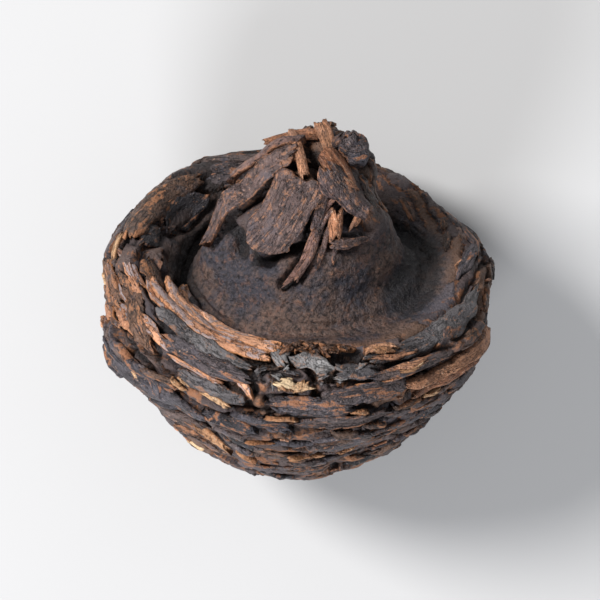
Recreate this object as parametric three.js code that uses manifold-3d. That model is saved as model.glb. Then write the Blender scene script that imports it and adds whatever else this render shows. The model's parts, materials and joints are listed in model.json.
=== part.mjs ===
// A mushroom of pressed dark tea. Steamed leaves were twisted in a cloth into a domed cap with a
// rolled rim, a hollow inside the rim, and a stem that rises from the hollow and ends in a torn tuft
// of stalks. It is one lump: the core, the leaves pressed on it and the stalks are a single solid.
// It lies on the side of its cap, on a small flat spot, with the stem leaning back and up.
// Millimetres, +Z up, the stem towards +Y. The origin is in the flat spot, straight below the middle
// of the cap's widest level.

import * as THREE from "three";
import { ParametricGeometry } from "three/addons/geometries/ParametricGeometry.js";
import { mergeVertices } from "three/addons/utils/BufferGeometryUtils.js";
import Module from "manifold-3d";

const wasm = await Module();
wasm.setup();

// The cap, measured from the mushroom's own axis and up from its widest level.
const capRadius = 19.8;
const capDepth = 21;
const domeFullness = 1.72; // 2 is an ellipse, and less is more pointed
const domeSteps = 6;
const crestRadius = 17.3;
const crestHeight = 3.8;
const valleyRadius = 11.9;
const valleyHeight = 0.6;
const rimShoulder = { outward: 0.82, upward: 0.62 }; // bend between the widest level and the crest
const hollowWall = { outward: 0.4, upward: 0.55 }; // bend between the hollow's bottom and the crest

// How the cap differs from a round one, in millimetres.
const capWaves = { oval: 0.3, threeSided: 0.2 };
const crestWaves = { radius: 0.25, height: 0.3 };
const crestShift = 0.5; // the rim is wider and lower to the right
const hollowWaves = { radius: 0.4, height: 0.3 };
const hollowShift = 0.7; // the hollow is wider to the front right
const hollowDrop = 1.9; // and deeper to the back left
const flattened = 1.9; // the whole cap is narrower to the back right

// The stem, as radius and height of its stations from the hollow to the tuft.
const stemStations = [
  { radius: 10.4, height: 2.2 },
  { radius: 9.0, height: 5.8 },
  { radius: 6.7, height: 10.6 },
  { radius: 5.1, height: 15.0 },
  { radius: 3.4, height: 17.3 },
  { radius: 0, height: 17.9 },
];
const stemFoot = 1.1; // lowest that the stem starts over the hollow's bottom
const stemLean = 1.9; // the head stands this far to the right of the cap's axis
const leanFull = 16; // height at which it does

// Directions round the axis, seen from the stem's end with the stem leaning back.
const right = 0;
const left = Math.PI;
const backRight = THREE.MathUtils.degToRad(48);
const backLeft = THREE.MathUtils.degToRad(135);
const frontRight = THREE.MathUtils.degToRad(305);

// Unevenness of the pressing.
const layerCount = 8; // terraces from the dome's pole to the crest
const layerDepth = 0.3;
const layerSpiral = 2; // terraces climbed in one turn
const layersEnd = 0.4; // they fade out between this share of the crest's height and the crest
const stemFolds = 5;
const stemFoldDepth = 0.3;
const stemTwist = 0.16; // radians for each millimetre up the stem
const foldsFrom = { start: 4, full: 9 }; // heights on the stem
const axisFade = { start: 1, full: 6 }; // the surface is even round the axis, out to these radii
const lumpDepth = 0.38;
const lumpPitch = 0.32; // radians for each millimetre

// Places pushed in or out: direction in degrees, height, depth outwards, and reach both ways.
const presses = [
  { name: "step in the cap's lower left", at: 231, height: -7.5, depth: -2.8, around: 0.17, along: 2.8 },
  { name: "flat in the cap's lower right", at: 292, height: -11, depth: -1.4, around: 0.3, along: 4 },
  { name: "swelling at the cap's left", at: 204, height: -1.5, depth: 1, around: 0.22, along: 4 },
  { name: "fold down the stem's left side", at: 186, height: 10.5, depth: 1.7, around: 0.28, along: 4.6 },
  { name: "pit below the fold", at: 212, height: 7.5, depth: -1, around: 0.16, along: 1.6 },
];

// How it lies.
const tilt = THREE.MathUtils.degToRad(52); // of the axis, away from upright
const centreHeight = 18.4; // of the cap's widest level over the floor

const aroundSteps = 48;
const profileSteps = 31;
const floorBlock = 80;
const mergeDistance = 1e-4;

// The leaves that lie on the core, spread evenly from the dome's pole to the stem's head.
const leafCount = 66;
const leafSeed = 11;
const leafLength = { least: 7, most: 12 };
const leafWidth = { least: 2.4, most: 3.9 };
const leafLift = { least: 0.25, most: 0.6 };
const leafSink = 0.7;
const leafSteps = 5;
const endTaper = 0.6; // share of the width lost at a leaf's ends
const endThinning = 0.35;
const bareHollow = { from: 0.6, to: 0.71 }; // shares of the section where the surface stays smooth
const leafStray = { share: 0.012, around: 0.2, heading: 14, bow: 30 }; // random shifts, turns in degrees
const stride = 1.5; // step in walking over the surface
const ends = { pole: 0.01, head: 0.985 }; // shares that a leaf's edge may reach

// Headings of the leaves against the way round the axis, in degrees, by share of the section.
const grain = [
  { share: 0.0, heading: -20 },
  { share: 0.42, heading: -8 },
  { share: 0.56, heading: -14 },
  { share: 0.66, heading: -50 },
  { share: 0.74, heading: -84 },
  { share: 1.0, heading: -90 },
];

// Leaves that show on their own: place, heading and size.
const namedLeaves = [
  { name: "broad leaf on the stem", angle: 247, share: 0.835, heading: -70, length: 8, width: 7, lift: 0.6 },
  { name: "fold down the stem's side", angle: 190, share: 0.82, heading: -80, length: 12, width: 3, lift: 1 },
  { name: "leaf under the head", angle: 304, share: 0.88, heading: -66, length: 6.5, width: 3.6, lift: 0.9 },
  { name: "straw down the stem", angle: 266, share: 0.83, heading: -82, length: 10, width: 1.2, lift: 0.7 },
  { name: "rim ribbon", angle: 232, share: 0.585, heading: -12, length: 14, width: 2.2, lift: 0.7 },
  { name: "rim ribbon below", angle: 230, share: 0.545, heading: -12, length: 13, width: 2.4, lift: 0.6 },
  { name: "ribbon under the rim", angle: 240, share: 0.49, heading: -9, length: 11, width: 2.8, lift: 0.45 },
  { name: "upper leaf end", angle: 205, share: 0.4, heading: 10, length: 7, width: 4, lift: 0.5, rise: 0.8 },
  { name: "lower leaf end", angle: 214, share: 0.35, heading: 14, length: 8, width: 4.5, lift: 0.6, rise: 1 },
];

// Stalks of the tuft: both ends and the radius.
const stalks = [
  { name: "upright", from: [2.7, -1.2, 17.2], to: [2.2, 1.6, 19.3], radius: 0.75 },
  { name: "hanging over the front", from: [-0.8, 0.4, 18], to: [0.4, -3.9, 16.4], radius: 0.6 },
  { name: "lying to the left", from: [1.4, 0.5, 18], to: [-3.1, 0.75, 17], radius: 0.6 },
  { name: "stub to the right", from: [2.4, -1.6, 17.3], to: [5, -4.4, 14.6], radius: 1.05 },
  { name: "short and low", from: [3.4, -5.2, 13.8], to: [3.5, -6.9, 10.4], radius: 0.65 },
];
const stalkBend = [0.15, -0.15, 0.2]; // its middle is off the straight line by this
const stalkSides = 6;
const stalkFlatness = 0.8;
const stalkSteps = 5;
const knob = { at: [5, 0.6, 16.2], radius: 1.75, turn: 0.5, scale: [0.95, 0.85, 1.15], sides: 9, rings: 6 };

const { lerp, clamp, smoothstep, degToRad } = THREE.MathUtils;

// How far an angle faces a direction, from 1 to -1.
const towards = (angle, direction) => Math.cos(angle - direction);
const wave = (angle, count, phase = 0) => Math.cos(count * angle + phase);

function seededRandom(seed) {
  let state = seed;
  return () => {
    state = (state + 0x6d2b79f5) | 0;
    let mixed = Math.imul(state ^ (state >>> 15), 1 | state);
    mixed = (mixed + Math.imul(mixed ^ (mixed >>> 7), 61 | mixed)) ^ mixed;
    return ((mixed ^ (mixed >>> 14)) >>> 0) / 2 ** 32;
  };
}

// The section through the axis at an angle, from the dome's pole over the rim to the stem's end.
function sectionAt(angle) {
  const flat = flattened * Math.max(0, towards(angle, backRight)) ** 4;
  const round = capWaves.oval * wave(angle, 2, -2.4) + capWaves.threeSided * wave(angle, 3, 1);
  const widest = capRadius + round - flat;
  const crestR =
    crestRadius + crestShift * towards(angle, right) + crestWaves.radius * wave(angle, 3) - flat;
  const crestH = crestHeight - crestShift * towards(angle, right) + crestWaves.height * wave(angle, 4, 0.5);
  const valleyR =
    valleyRadius + hollowShift * towards(angle, frontRight) + hollowWaves.radius * wave(angle, 2) - flat / 2;
  const valleyH =
    valleyHeight - hollowDrop * towards(angle, backLeft) + hollowWaves.height * wave(angle, 3);
  const points = [];
  for (let i = 0; i < domeSteps; i++) {
    const climb = ((i / domeSteps) * Math.PI) / 2;
    points.push([
      widest * Math.sin(climb) ** (2 / domeFullness),
      -capDepth * Math.cos(climb) ** (2 / domeFullness),
    ]);
  }
  points.push([widest, 0]);
  points.push([lerp(crestR, widest, rimShoulder.outward), crestH * rimShoulder.upward]);
  points.push([crestR, crestH]);
  points.push([lerp(valleyR, crestR, hollowWall.outward), lerp(valleyH, crestH, hollowWall.upward)]);
  points.push([valleyR, valleyH]);
  stemStations.forEach(({ radius, height }, i) => {
    const lowest = valleyH + stemFoot;
    points.push([radius, i ? height : (Math.max(height, lowest) + lowest) / 2]);
  });
  return new THREE.SplineCurve(points.map(([r, h]) => new THREE.Vector2(r, h)));
}

// A share of the length along the average section, as that curve's own parameter.
const averageSection = sectionAt(left);
const parameterAt = (share) => averageSection.getUtoTmapping(clamp(share, 0, 1));

// How much the pressing pushes the surface out or in at a point of the section.
function unevenness(angle, radius, height) {
  const insideRim = radius < valleyRadius ? 1 : 0;
  const outside = 1 - smoothstep(height, crestHeight * layersEnd, crestHeight);
  const onStem = smoothstep(height, foldsFrom.start, foldsFrom.full) * insideRim;
  const level = (Math.atan2(height, radius) / (Math.PI / 2) + 1) * layerCount;
  const phase = 2 * Math.PI * level + layerSpiral * angle;
  const terraces = Math.sin(phase) + 0.4 * Math.sin(2 * phase + 0.6);
  const fade = smoothstep(radius, axisFade.start, axisFade.full);
  const folds = Math.cos(stemFolds * (angle + stemTwist * height));
  const x = lumpPitch * radius * Math.cos(angle);
  const y = lumpPitch * radius * Math.sin(angle);
  const z = lumpPitch * height;
  const lumps = Math.sin(x + 1.3) * Math.sin(y - 0.6) + 0.6 * Math.sin(1.6 * y + 1.3 * z);
  const pressed = presses.reduce((sum, press) => {
    const beside = (towards(angle, degToRad(press.at)) - 1) / press.around ** 2;
    return sum + press.depth * Math.exp(beside - ((height - press.height) / press.along) ** 2);
  }, 0);
  return (
    fade * (layerDepth * terraces * outside + stemFoldDepth * folds * onStem + lumpDepth * lumps + pressed)
  );
}

// A point of the core's surface at a share of the section's length and an angle, lifted off it.
function surfacePoint(share, angle, lift = 0, target = new THREE.Vector3()) {
  const section = sectionAt(angle);
  const parameter = parameterAt(share);
  const { x: radius, y: height } = section.getPoint(parameter);
  const along = section.getTangent(parameter);
  const out = lift + unevenness(angle, radius, height);
  const r = Math.max(radius + out * along.y, 0);
  const h = height - out * along.x;
  const lean = radius < valleyRadius + 1 ? stemLean * smoothstep(h, valleyHeight, leanFull) : 0;
  return target.set(r * Math.cos(angle) + lean, r * Math.sin(angle), h);
}

// A closed solid from any geometry whose faces meet.
function solidFrom(geometry) {
  const bare = geometry.index ? geometry.toNonIndexed() : geometry.clone();
  bare.deleteAttribute("normal");
  bare.deleteAttribute("uv");
  const merged = mergeVertices(bare, mergeDistance);
  return new wasm.Manifold(
    new wasm.Mesh({
      numProp: 3,
      vertProperties: merged.attributes.position.array,
      triVerts: new Uint32Array(merged.index.array),
    }),
  );
}

function core() {
  const body = (u, v, target) => surfacePoint(v, u * 2 * Math.PI, 0, target);
  return solidFrom(new ParametricGeometry(body, aroundSteps, profileSteps));
}

// Goes a distance over the surface on a heading, and returns where that ends.
function walk({ share, angle }, heading, distance) {
  const steps = Math.max(1, Math.ceil(Math.abs(distance) / stride));
  const nudge = 1e-3;
  for (let i = 0; i < steps; i++) {
    const here = surfacePoint(share, angle);
    const around = here.distanceTo(surfacePoint(share, angle + nudge)) / nudge;
    const up = here.distanceTo(surfacePoint(share + nudge, angle)) / nudge;
    angle += ((distance / steps) * Math.cos(heading)) / Math.max(around, 1);
    share += ((distance / steps) * Math.sin(heading)) / up;
  }
  return { share: clamp(share, ends.pole, ends.head), angle };
}

// A box of thin leaf, bent over the surface along a heading, narrower at its ends.
function pressedLeaf({ share, angle, heading, length, width, lift, rise = 0, bow = 0 }) {
  const leaf = new THREE.BoxGeometry(1, 1, 1, leafSteps, 1, 1);
  const position = leaf.getAttribute("position");
  for (let i = 0; i < position.count; i++) {
    const along = position.getX(i);
    const side = position.getY(i) * (1 - endTaper * Math.abs(2 * along) ** 3);
    const spine = walk({ share, angle }, heading + bow * along, along * length);
    const edge = walk(spine, heading + bow * along + Math.PI / 2, side * width);
    const end = lift * (1 - endThinning * (2 * along) ** 2) + rise * Math.max(0, 2 * along) ** 2;
    const { x, y, z } = surfacePoint(edge.share, edge.angle, position.getZ(i) > 0 ? end : -leafSink);
    position.setXYZ(i, x, y, z);
  }
  return solidFrom(leaf);
}

function headingAt(share) {
  const next = Math.max(1, grain.findIndex((station) => station.share >= share));
  const [low, high] = [grain[next - 1], grain[next]];
  const between = (share - low.share) / (high.share - low.share);
  return degToRad(lerp(low.heading, high.heading, between));
}

// Shares of the section that split the surface into bands of equal area.
function evenShares(count) {
  const fine = 200; // slices
  const sums = [0];
  for (let i = 1; i <= fine; i++) {
    const { x, y } = surfacePoint((i - 0.5) / fine, left);
    sums.push(sums[i - 1] + Math.hypot(x, y));
  }
  return Array.from({ length: count }, (_, k) => {
    const wanted = ((k + 0.5) / count) * sums[fine];
    return sums.findIndex((sum) => sum >= wanted) / fine;
  });
}

function scatteredLeaves() {
  const random = seededRandom(leafSeed);
  const between = ({ least, most }) => lerp(least, most, random());
  const stray = (size) => size * (random() - 0.5);
  const goldenAngle = Math.PI * (3 - Math.sqrt(5));
  const leaves = evenShares(leafCount).map((share, k) => ({
    share: share + stray(leafStray.share),
    angle: k * goldenAngle + stray(leafStray.around),
    heading: headingAt(share) + degToRad(stray(leafStray.heading)),
    length: between(leafLength),
    width: between(leafWidth),
    lift: between(leafLift),
    bow: degToRad(stray(leafStray.bow)),
  }));
  return leaves.filter(({ share }) => share < bareHollow.from || share > bareHollow.to).map(pressedLeaf);
}

function stalk({ from, to, radius }) {
  const [start, end] = [new THREE.Vector3(...from), new THREE.Vector3(...to)];
  const middle = start.clone().lerp(end, 0.5).add(new THREE.Vector3(...stalkBend));
  const section = new THREE.Shape(
    Array.from({ length: stalkSides }, (_, i) => {
      const turn = (i * 2 * Math.PI) / stalkSides;
      return new THREE.Vector2(radius * Math.cos(turn), radius * stalkFlatness * Math.sin(turn));
    }),
  );
  const extrudePath = new THREE.CatmullRomCurve3([start, middle, end]);
  return solidFrom(new THREE.ExtrudeGeometry(section, { extrudePath, steps: stalkSteps }));
}

function curledKnob({ at, radius, turn, scale, sides, rings }) {
  const ball = new THREE.SphereGeometry(radius, sides, rings);
  ball.scale(...scale);
  ball.rotateX(turn);
  ball.translate(...at);
  return solidFrom(ball);
}

// The biggest closed body of a solid, without scraps and sealed hollows.
function wholeBody(solid) {
  return solid.decompose().reduce((a, b) => (b.volume() > a.volume() ? b : a));
}

function pressedTea() {
  const named = namedLeaves.map((leaf) =>
    pressedLeaf({ ...leaf, angle: degToRad(leaf.angle), heading: degToRad(leaf.heading) }),
  );
  const lying = new THREE.Matrix4()
    .makeTranslation(0, 0, centreHeight)
    .multiply(new THREE.Matrix4().makeRotationX(-tilt));
  const floor = new THREE.BoxGeometry(floorBlock, floorBlock, floorBlock);
  floor.translate(0, 0, -floorBlock / 2);
  const pieces = [...scatteredLeaves(), ...named, ...stalks.map(stalk), curledKnob(knob)];
  const joined = pieces.reduce((whole, piece) => whole.add(piece), core());
  return wholeBody(joined.transform(lying.elements).subtract(solidFrom(floor)));
}

function meshFrom(solid, name, material) {
  const { vertProperties, triVerts } = solid.getMesh();
  const geometry = new THREE.BufferGeometry();
  geometry.setAttribute("position", new THREE.BufferAttribute(vertProperties, 3));
  geometry.setIndex(new THREE.BufferAttribute(triVerts, 1));
  geometry.computeVertexNormals();
  const mesh = new THREE.Mesh(geometry, material);
  mesh.name = name;
  return mesh;
}

const darkTea = new THREE.MeshStandardMaterial({ color: 0x33241d, roughness: 0.6, metalness: 0 });

const mushroom = new THREE.Group();
mushroom.add(meshFrom(pressedTea(), "pressed_tea", darkTea));
export default mushroom;
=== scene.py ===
import itertools
import json
import math

import bmesh
import bpy
import numpy as np
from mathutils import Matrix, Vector
from mathutils.kdtree import KDTree

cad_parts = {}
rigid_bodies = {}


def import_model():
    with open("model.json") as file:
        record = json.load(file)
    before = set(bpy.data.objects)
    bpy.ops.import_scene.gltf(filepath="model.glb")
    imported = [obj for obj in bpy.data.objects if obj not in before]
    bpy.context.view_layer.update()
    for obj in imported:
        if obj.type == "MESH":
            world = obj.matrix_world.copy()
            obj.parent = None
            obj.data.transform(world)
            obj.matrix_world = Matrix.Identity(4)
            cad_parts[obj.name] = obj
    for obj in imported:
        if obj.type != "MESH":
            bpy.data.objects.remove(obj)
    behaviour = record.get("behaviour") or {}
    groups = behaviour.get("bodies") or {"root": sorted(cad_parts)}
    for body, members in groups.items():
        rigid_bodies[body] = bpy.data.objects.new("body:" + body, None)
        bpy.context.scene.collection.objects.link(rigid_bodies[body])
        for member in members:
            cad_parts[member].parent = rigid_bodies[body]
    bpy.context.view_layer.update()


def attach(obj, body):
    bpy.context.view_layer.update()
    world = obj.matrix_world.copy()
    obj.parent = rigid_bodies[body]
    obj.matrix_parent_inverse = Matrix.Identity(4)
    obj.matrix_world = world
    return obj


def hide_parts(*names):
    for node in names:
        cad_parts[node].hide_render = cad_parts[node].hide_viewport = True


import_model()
print("frame loaded")

mm = 0.001  # one millimetre, in metres

# The lump's shape, in millimetres from its own axis and up from the cap's widest level.
lump = {
    "capRadius": 19.8, "capDepth": 21, "domeFullness": 1.72, "domeSteps": 6,
    "crestRadius": 17.3, "crestHeight": 3.8, "valleyRadius": 11.9, "valleyHeight": 0.6,
    "rimShoulder": (0.82, 0.62), "hollowWall": (0.4, 0.55),
    "stem": [(10.4, 2.2), (9.0, 5.8), (6.7, 10.6), (5.1, 15.0), (3.4, 17.3), (0, 17.9)],
    "stemFoot": 1.1, "stemLean": 1.9, "leanFull": 16, "flattened": 1.9,
    "tilt": math.radians(52), "centreHeight": 18.4,
}
pressing = {
    "layerCount": 8, "layerDepth": 0.3, "layerSpiral": 2, "layersEnd": 0.4,
    "stemFolds": 5, "stemFoldDepth": 0.3, "stemTwist": 0.16, "foldsFrom": (4, 9),
    "axisFade": (1, 6), "lumpDepth": 0.38, "lumpPitch": 0.32,
}
# Places pushed in or out: direction, height, depth outwards, and reach both ways.
presses = [(231, -7.5, -2.8, 0.17, 2.8), (292, -11, -1.4, 0.3, 4), (204, -1.5, 1, 0.22, 4),
           (186, 10.5, 1.7, 0.28, 4.6), (212, 7.5, -1, 0.16, 1.6)]
# Headings of the leaves against the way round the axis, by share of the section.
grain = {"share": [0, 0.42, 0.56, 0.66, 0.74, 1], "heading": [-20, -8, -14, -50, -84, -90],
         "poleShare": (0.14, 0.30), "poleWay": np.array([0.97, 0.2, 0.1])}


def lerp(low, high, share):
    return low + (high - low) * share


def smoothstep(value, low, high):
    share = np.clip((value - low) / (high - low), 0, 1)
    return share * share * (3 - 2 * share)


def towards(angle, degrees):
    return np.cos(angle - math.radians(degrees))


# The lump's section at each angle, from the pole of the cap to the stem's head. No two sides are quite alike.
def sectionAt(angle):
    k = lump
    angle = np.asarray(angle, float)
    flat = k["flattened"] * np.maximum(0, towards(angle, 48)) ** 4
    widest = k["capRadius"] + 0.3 * np.cos(2 * angle - 2.4) + 0.2 * np.cos(3 * angle + 1) - flat
    crestR = k["crestRadius"] + 0.5 * np.cos(angle) + 0.25 * np.cos(3 * angle) - flat
    crestH = k["crestHeight"] - 0.5 * np.cos(angle) + 0.3 * np.cos(4 * angle + 0.5)
    valleyR = k["valleyRadius"] + 0.7 * towards(angle, 305) + 0.4 * np.cos(2 * angle) - flat / 2
    valleyH = k["valleyHeight"] - 1.9 * towards(angle, 135) + 0.3 * np.cos(3 * angle)
    level = np.ones_like(angle)
    points, power = [], 2 / k["domeFullness"]
    for i in range(k["domeSteps"]):
        climb = i / k["domeSteps"] * math.pi / 2
        points.append((widest * math.sin(climb) ** power, -k["capDepth"] * math.cos(climb) ** power * level))
    shoulder, wall = k["rimShoulder"], k["hollowWall"]
    points += [(widest, 0 * level), (lerp(crestR, widest, shoulder[0]), crestH * shoulder[1]), (crestR, crestH),
               (lerp(valleyR, crestR, wall[0]), lerp(valleyH, crestH, wall[1])), (valleyR, valleyH)]
    lowest = valleyH + k["stemFoot"]
    for i, (radius, height) in enumerate(k["stem"]):
        station = height * level if i else (np.maximum(height, lowest) + lowest) / 2
        points.append((radius * level, station))
    return np.stack([np.stack(point, -1) for point in points], -2)


# A point on the smooth curve from start to end, by the points before and after them.
def curvePoint(before, start, end, after, step):
    leave, arrive = (end - before) / 2, (after - start) / 2
    return ((2 * start - 2 * end + leave + arrive) * step ** 3
            + (3 * end - 3 * start - 2 * leave - arrive) * step ** 2 + leave * step + start)


def alongCurve(points, share):
    count = points.shape[-2]
    place = np.clip(share, 0, 1) * (count - 1)
    index = np.floor(place).astype(int)
    step = (place - index)[..., None]

    def station(k):
        k = np.clip(k, 0, count - 1)[..., None, None].repeat(2, -1)
        return np.take_along_axis(points, k, -2)[..., 0, :]

    return curvePoint(*(station(index + k) for k in (-1, 0, 1, 2)), step)


# A point list smoothed to a run of points, for any number of values to each.
def smoothRun(points, count):
    points = np.asarray(points, float)
    places = np.linspace(0, 1, count) * (len(points) - 1)
    index = np.minimum(places.astype(int), len(points) - 2)
    near = (points[np.clip(index + k, 0, len(points) - 1)] for k in (-1, 0, 1, 2))
    return curvePoint(*near, (places - index)[:, None])


# The section's length, so that shares are even along it.
slices = np.linspace(0, 1, 201)
averageCurve = alongCurve(np.repeat(sectionAt(math.pi)[None], len(slices), 0), slices)
averageRun = np.insert(np.cumsum(np.linalg.norm(np.diff(averageCurve, axis=0), axis=1)), 0, 0)


# How far the surface stands off the plain section: layers round the cap, folds up the stem, lumps and presses.
def unevenness(angle, radius, height):
    k = pressing
    insideRim = radius < lump["valleyRadius"]
    outside = 1 - smoothstep(height, lump["crestHeight"] * k["layersEnd"], lump["crestHeight"])
    onStem = smoothstep(height, *k["foldsFrom"]) * insideRim
    phase = 2 * math.pi * (np.arctan2(height, radius) / (math.pi / 2) + 1) * k["layerCount"] + k["layerSpiral"] * angle
    terraces = np.sin(phase) + 0.4 * np.sin(2 * phase + 0.6)
    fade = smoothstep(radius, *k["axisFade"])
    folds = np.cos(k["stemFolds"] * (angle + k["stemTwist"] * height))
    x, y, z = (k["lumpPitch"] * size for size in (radius * np.cos(angle), radius * np.sin(angle), height))
    lumps = np.sin(x + 1.3) * np.sin(y - 0.6) + 0.6 * np.sin(1.6 * y + 1.3 * z)
    pressed = 0
    for at, level, depth, around, along in presses:
        beside = (towards(angle, at) - 1) / around ** 2
        pressed = pressed + depth * np.exp(beside - ((height - level) / along) ** 2)
    return fade * (k["layerDepth"] * terraces * outside + k["stemFoldDepth"] * folds * onStem
                   + k["lumpDepth"] * lumps + pressed)


# A point of the core at a share of the section's length and an angle, lifted off it.
def surfacePoint(share, angle, lift=0.0, nudge=1e-4):
    share, angle = np.broadcast_arrays(np.asarray(share, float), np.asarray(angle, float))
    points = sectionAt(angle)
    place = np.interp(np.clip(share, 0, 1) * averageRun[-1], averageRun, slices)
    here = alongCurve(points, place)
    along = unit(alongCurve(points, np.minimum(place + nudge, 1)) - alongCurve(points, np.maximum(place - nudge, 0)))
    radius, height = here[..., 0], here[..., 1]
    out = lift + unevenness(angle, radius, height)
    r = np.maximum(radius + out * along[..., 1], 0)
    h = height - out * along[..., 0]
    lean = lump["stemLean"] * smoothstep(h, lump["valleyHeight"], lump["leanFull"])
    lean = lean * (radius < lump["valleyRadius"] + 1)
    return np.stack([r * np.cos(angle) + lean, r * np.sin(angle), h], -1)


def fullTurn(count):
    return np.linspace(0, 2 * math.pi, count, endpoint=False)


def unit(vectors):
    return vectors / (np.linalg.norm(vectors, axis=-1, keepdims=True) + 1e-12)


def dotted(first, second):
    return np.sum(first * second, axis=-1)


# Values of any shapes that fit together, as the parts of one point each.
def together(*parts):
    return np.stack(np.broadcast_arrays(*parts), -1)


# From the mushroom's own axis to how it lies on the floor, in metres.
def lying(points):
    c, s = math.cos(lump["tilt"]), math.sin(lump["tilt"])
    x, y, z = points[..., 0], points[..., 1], points[..., 2]
    return np.stack([x, y * c + z * s, -y * s + z * c + lump["centreHeight"]], -1) * mm


def onFloor(points):
    points = points.copy()
    points[..., 2] = np.maximum(points[..., 2], 0)
    return points


# A fixed value from -1 to 1 for each cell of a grid.
def scramble(cell, seed):
    x, y, z = (cell[..., i].astype(np.uint32) for i in range(3))
    mixed = (x * np.uint32(0x8DA6B343)) ^ (y * np.uint32(0xD8163841)) ^ (z * np.uint32(0xCB1AB31F))
    mixed = mixed ^ np.uint32(seed * 0x9E3779B1 & 0xFFFFFFFF)
    mixed = (mixed ^ (mixed >> np.uint32(15))) * np.uint32(0x2C1B3C6D)
    mixed = (mixed ^ (mixed >> np.uint32(12))) * np.uint32(0x297A2D39)
    return (mixed ^ (mixed >> np.uint32(15))) / 2 ** 31 - 1


# Soft noise from -1 to 1 with lumps of about the pitch.
def noise(points, pitch, seed=0):
    place = np.asarray(points, float) / pitch + 512
    cell = np.floor(place).astype(int)
    part = place - cell
    part = part ** 3 * (part * (part * 6 - 15) + 10)
    total = 0
    for corner in itertools.product((0, 1), repeat=3):
        share = np.prod(np.where(corner, part, 1 - part), axis=-1)
        total = total + share * scramble(cell + np.array(corner), seed)
    return total


def roughNoise(points, pitch, octaves=3, seed=0):
    total = sum(noise(points, pitch / 2 ** k, seed + k) / 2 ** k for k in range(octaves))
    return total / (2 - 2 / 2 ** octaves)


# Writes one value for each point or edge of a mesh.
def store(mesh, title, values, kind="FLOAT", domain="POINT"):
    layer = mesh.attributes.new(title, kind, domain)
    layer.data.foreach_set("vector" if kind == "FLOAT_VECTOR" else "value", np.asarray(values).ravel())


def shadeSmooth(mesh):
    mesh.polygons.foreach_set("use_smooth", np.ones(len(mesh.polygons), bool))


def placed(name, data):
    piece = bpy.data.objects.new(name, data)
    bpy.context.collection.objects.link(piece)
    return piece


def meshObject(name, points, faces, values=None, vectors=None):
    mesh = bpy.data.meshes.new(name)
    mesh.from_pydata(np.asarray(points).reshape(-1, 3).tolist(), [], [list(map(int, face)) for face in faces])
    mesh.validate()
    for title, value in (values or {}).items():
        store(mesh, title, np.asarray(value, float))
    for title, value in (vectors or {}).items():
        store(mesh, title, np.asarray(value, float), "FLOAT_VECTOR")
    shadeSmooth(mesh)
    return placed(name, mesh)


# Quads over a grid of rows and columns, whose columns may close on themselves.
def gridFaces(rows, columns, closed=False):
    row, column = np.meshgrid(np.arange(rows - 1), np.arange(columns if closed else columns - 1), indexing="ij")
    start, after = row * columns, (column + 1) % columns
    corners = [start + column, start + after, start + columns + after, start + columns + column]
    return np.stack(corners, -1).reshape(-1, 4).tolist()


# A closed tube of rings, whose two end points come last.
def tubeFaces(rows, around):
    count = rows * around
    faces = gridFaces(rows, around, True)
    faces += [[(i + 1) % around, i, count] for i in range(around)]
    return faces + [[count - around + i, count - around + (i + 1) % around, count + 1] for i in range(around)]


# One node tree, with a short way to add nodes and to write sums on their sockets.
class NodeMaker:
    def __init__(self, tree):
        self.tree = tree

    def node(self, kind, settings=None, sockets=None, output=0):
        made = self.tree.nodes.new(kind)
        for title, value in (settings or {}).items():
            if title == "stops":
                elements = made.color_ramp.elements
                while len(elements) < len(value):
                    elements.new(0.5)
                for element, (place, colour) in zip(elements, value):
                    element.position = place
                    element.color = (*colour, 1)
            else:
                setattr(made, title, value)
        for title, value in (sockets or {}).items():
            self.feed(made.inputs[title], value)
        return Socket(self, made.outputs[output]) if made.outputs else None

    def feed(self, target, value):
        if isinstance(value, Socket):
            self.tree.links.new(value.socket, target)
        else:
            target.default_value = value

    def mix(self, share, first, second):
        first, second = (end if isinstance(end, Socket) else (*end, 1) for end in (first, second))
        return self.node("ShaderNodeMix", {"data_type": "RGBA"}, {0: share, 6: first, 7: second}, 2)

    # Lays colours over a base one by one, each where its value passes from low to high, as strongly as it says.
    def layered(self, base, layers):
        for colour, value, low, high, *strength in layers:
            share = self.range(value, low, high)
            base = self.mix(share * strength[0] if strength else share, base, colour)
        return base

    def vector(self, operation, first, second):
        title = "Scale" if operation == "SCALE" else 1
        return self.node("ShaderNodeVectorMath", {"operation": operation}, {0: first, title: second})

    def attribute(self, title, output="Fac"):
        return self.node("ShaderNodeAttribute", {"attribute_name": title}, output=output)

    def range(self, value, low, high, start=0.0, end=1.0):
        return self.node("ShaderNodeMapRange", {"interpolation_type": "SMOOTHSTEP"},
                         {0: value, 1: low, 2: high, 3: start, 4: end})


class Socket:
    def __init__(self, maker, socket):
        self.maker = maker
        self.socket = socket

    def math(self, operation, *values):
        return self.maker.node("ShaderNodeMath", {"operation": operation}, dict(enumerate(values)))

    def __add__(self, other):
        return self.math("ADD", self, other)

    __radd__ = __add__

    def __sub__(self, other):
        return self.math("SUBTRACT", self, other)

    def __rsub__(self, other):
        return self.math("SUBTRACT", other, self)

    def __mul__(self, other):
        return self.math("MULTIPLY", self, other)

    __rmul__ = __mul__

    def __abs__(self):
        return self.math("ABSOLUTE", self)


def newMaterial(name):
    material = bpy.data.materials.new(name)
    material.use_nodes = True
    material.node_tree.nodes.clear()
    return material, NodeMaker(material.node_tree)


# How the tea takes the light: depth of its finest relief, in metres, and its gloss.
finish = {"bumpDepth": 0.0004, "gloss": 0.3}


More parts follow.
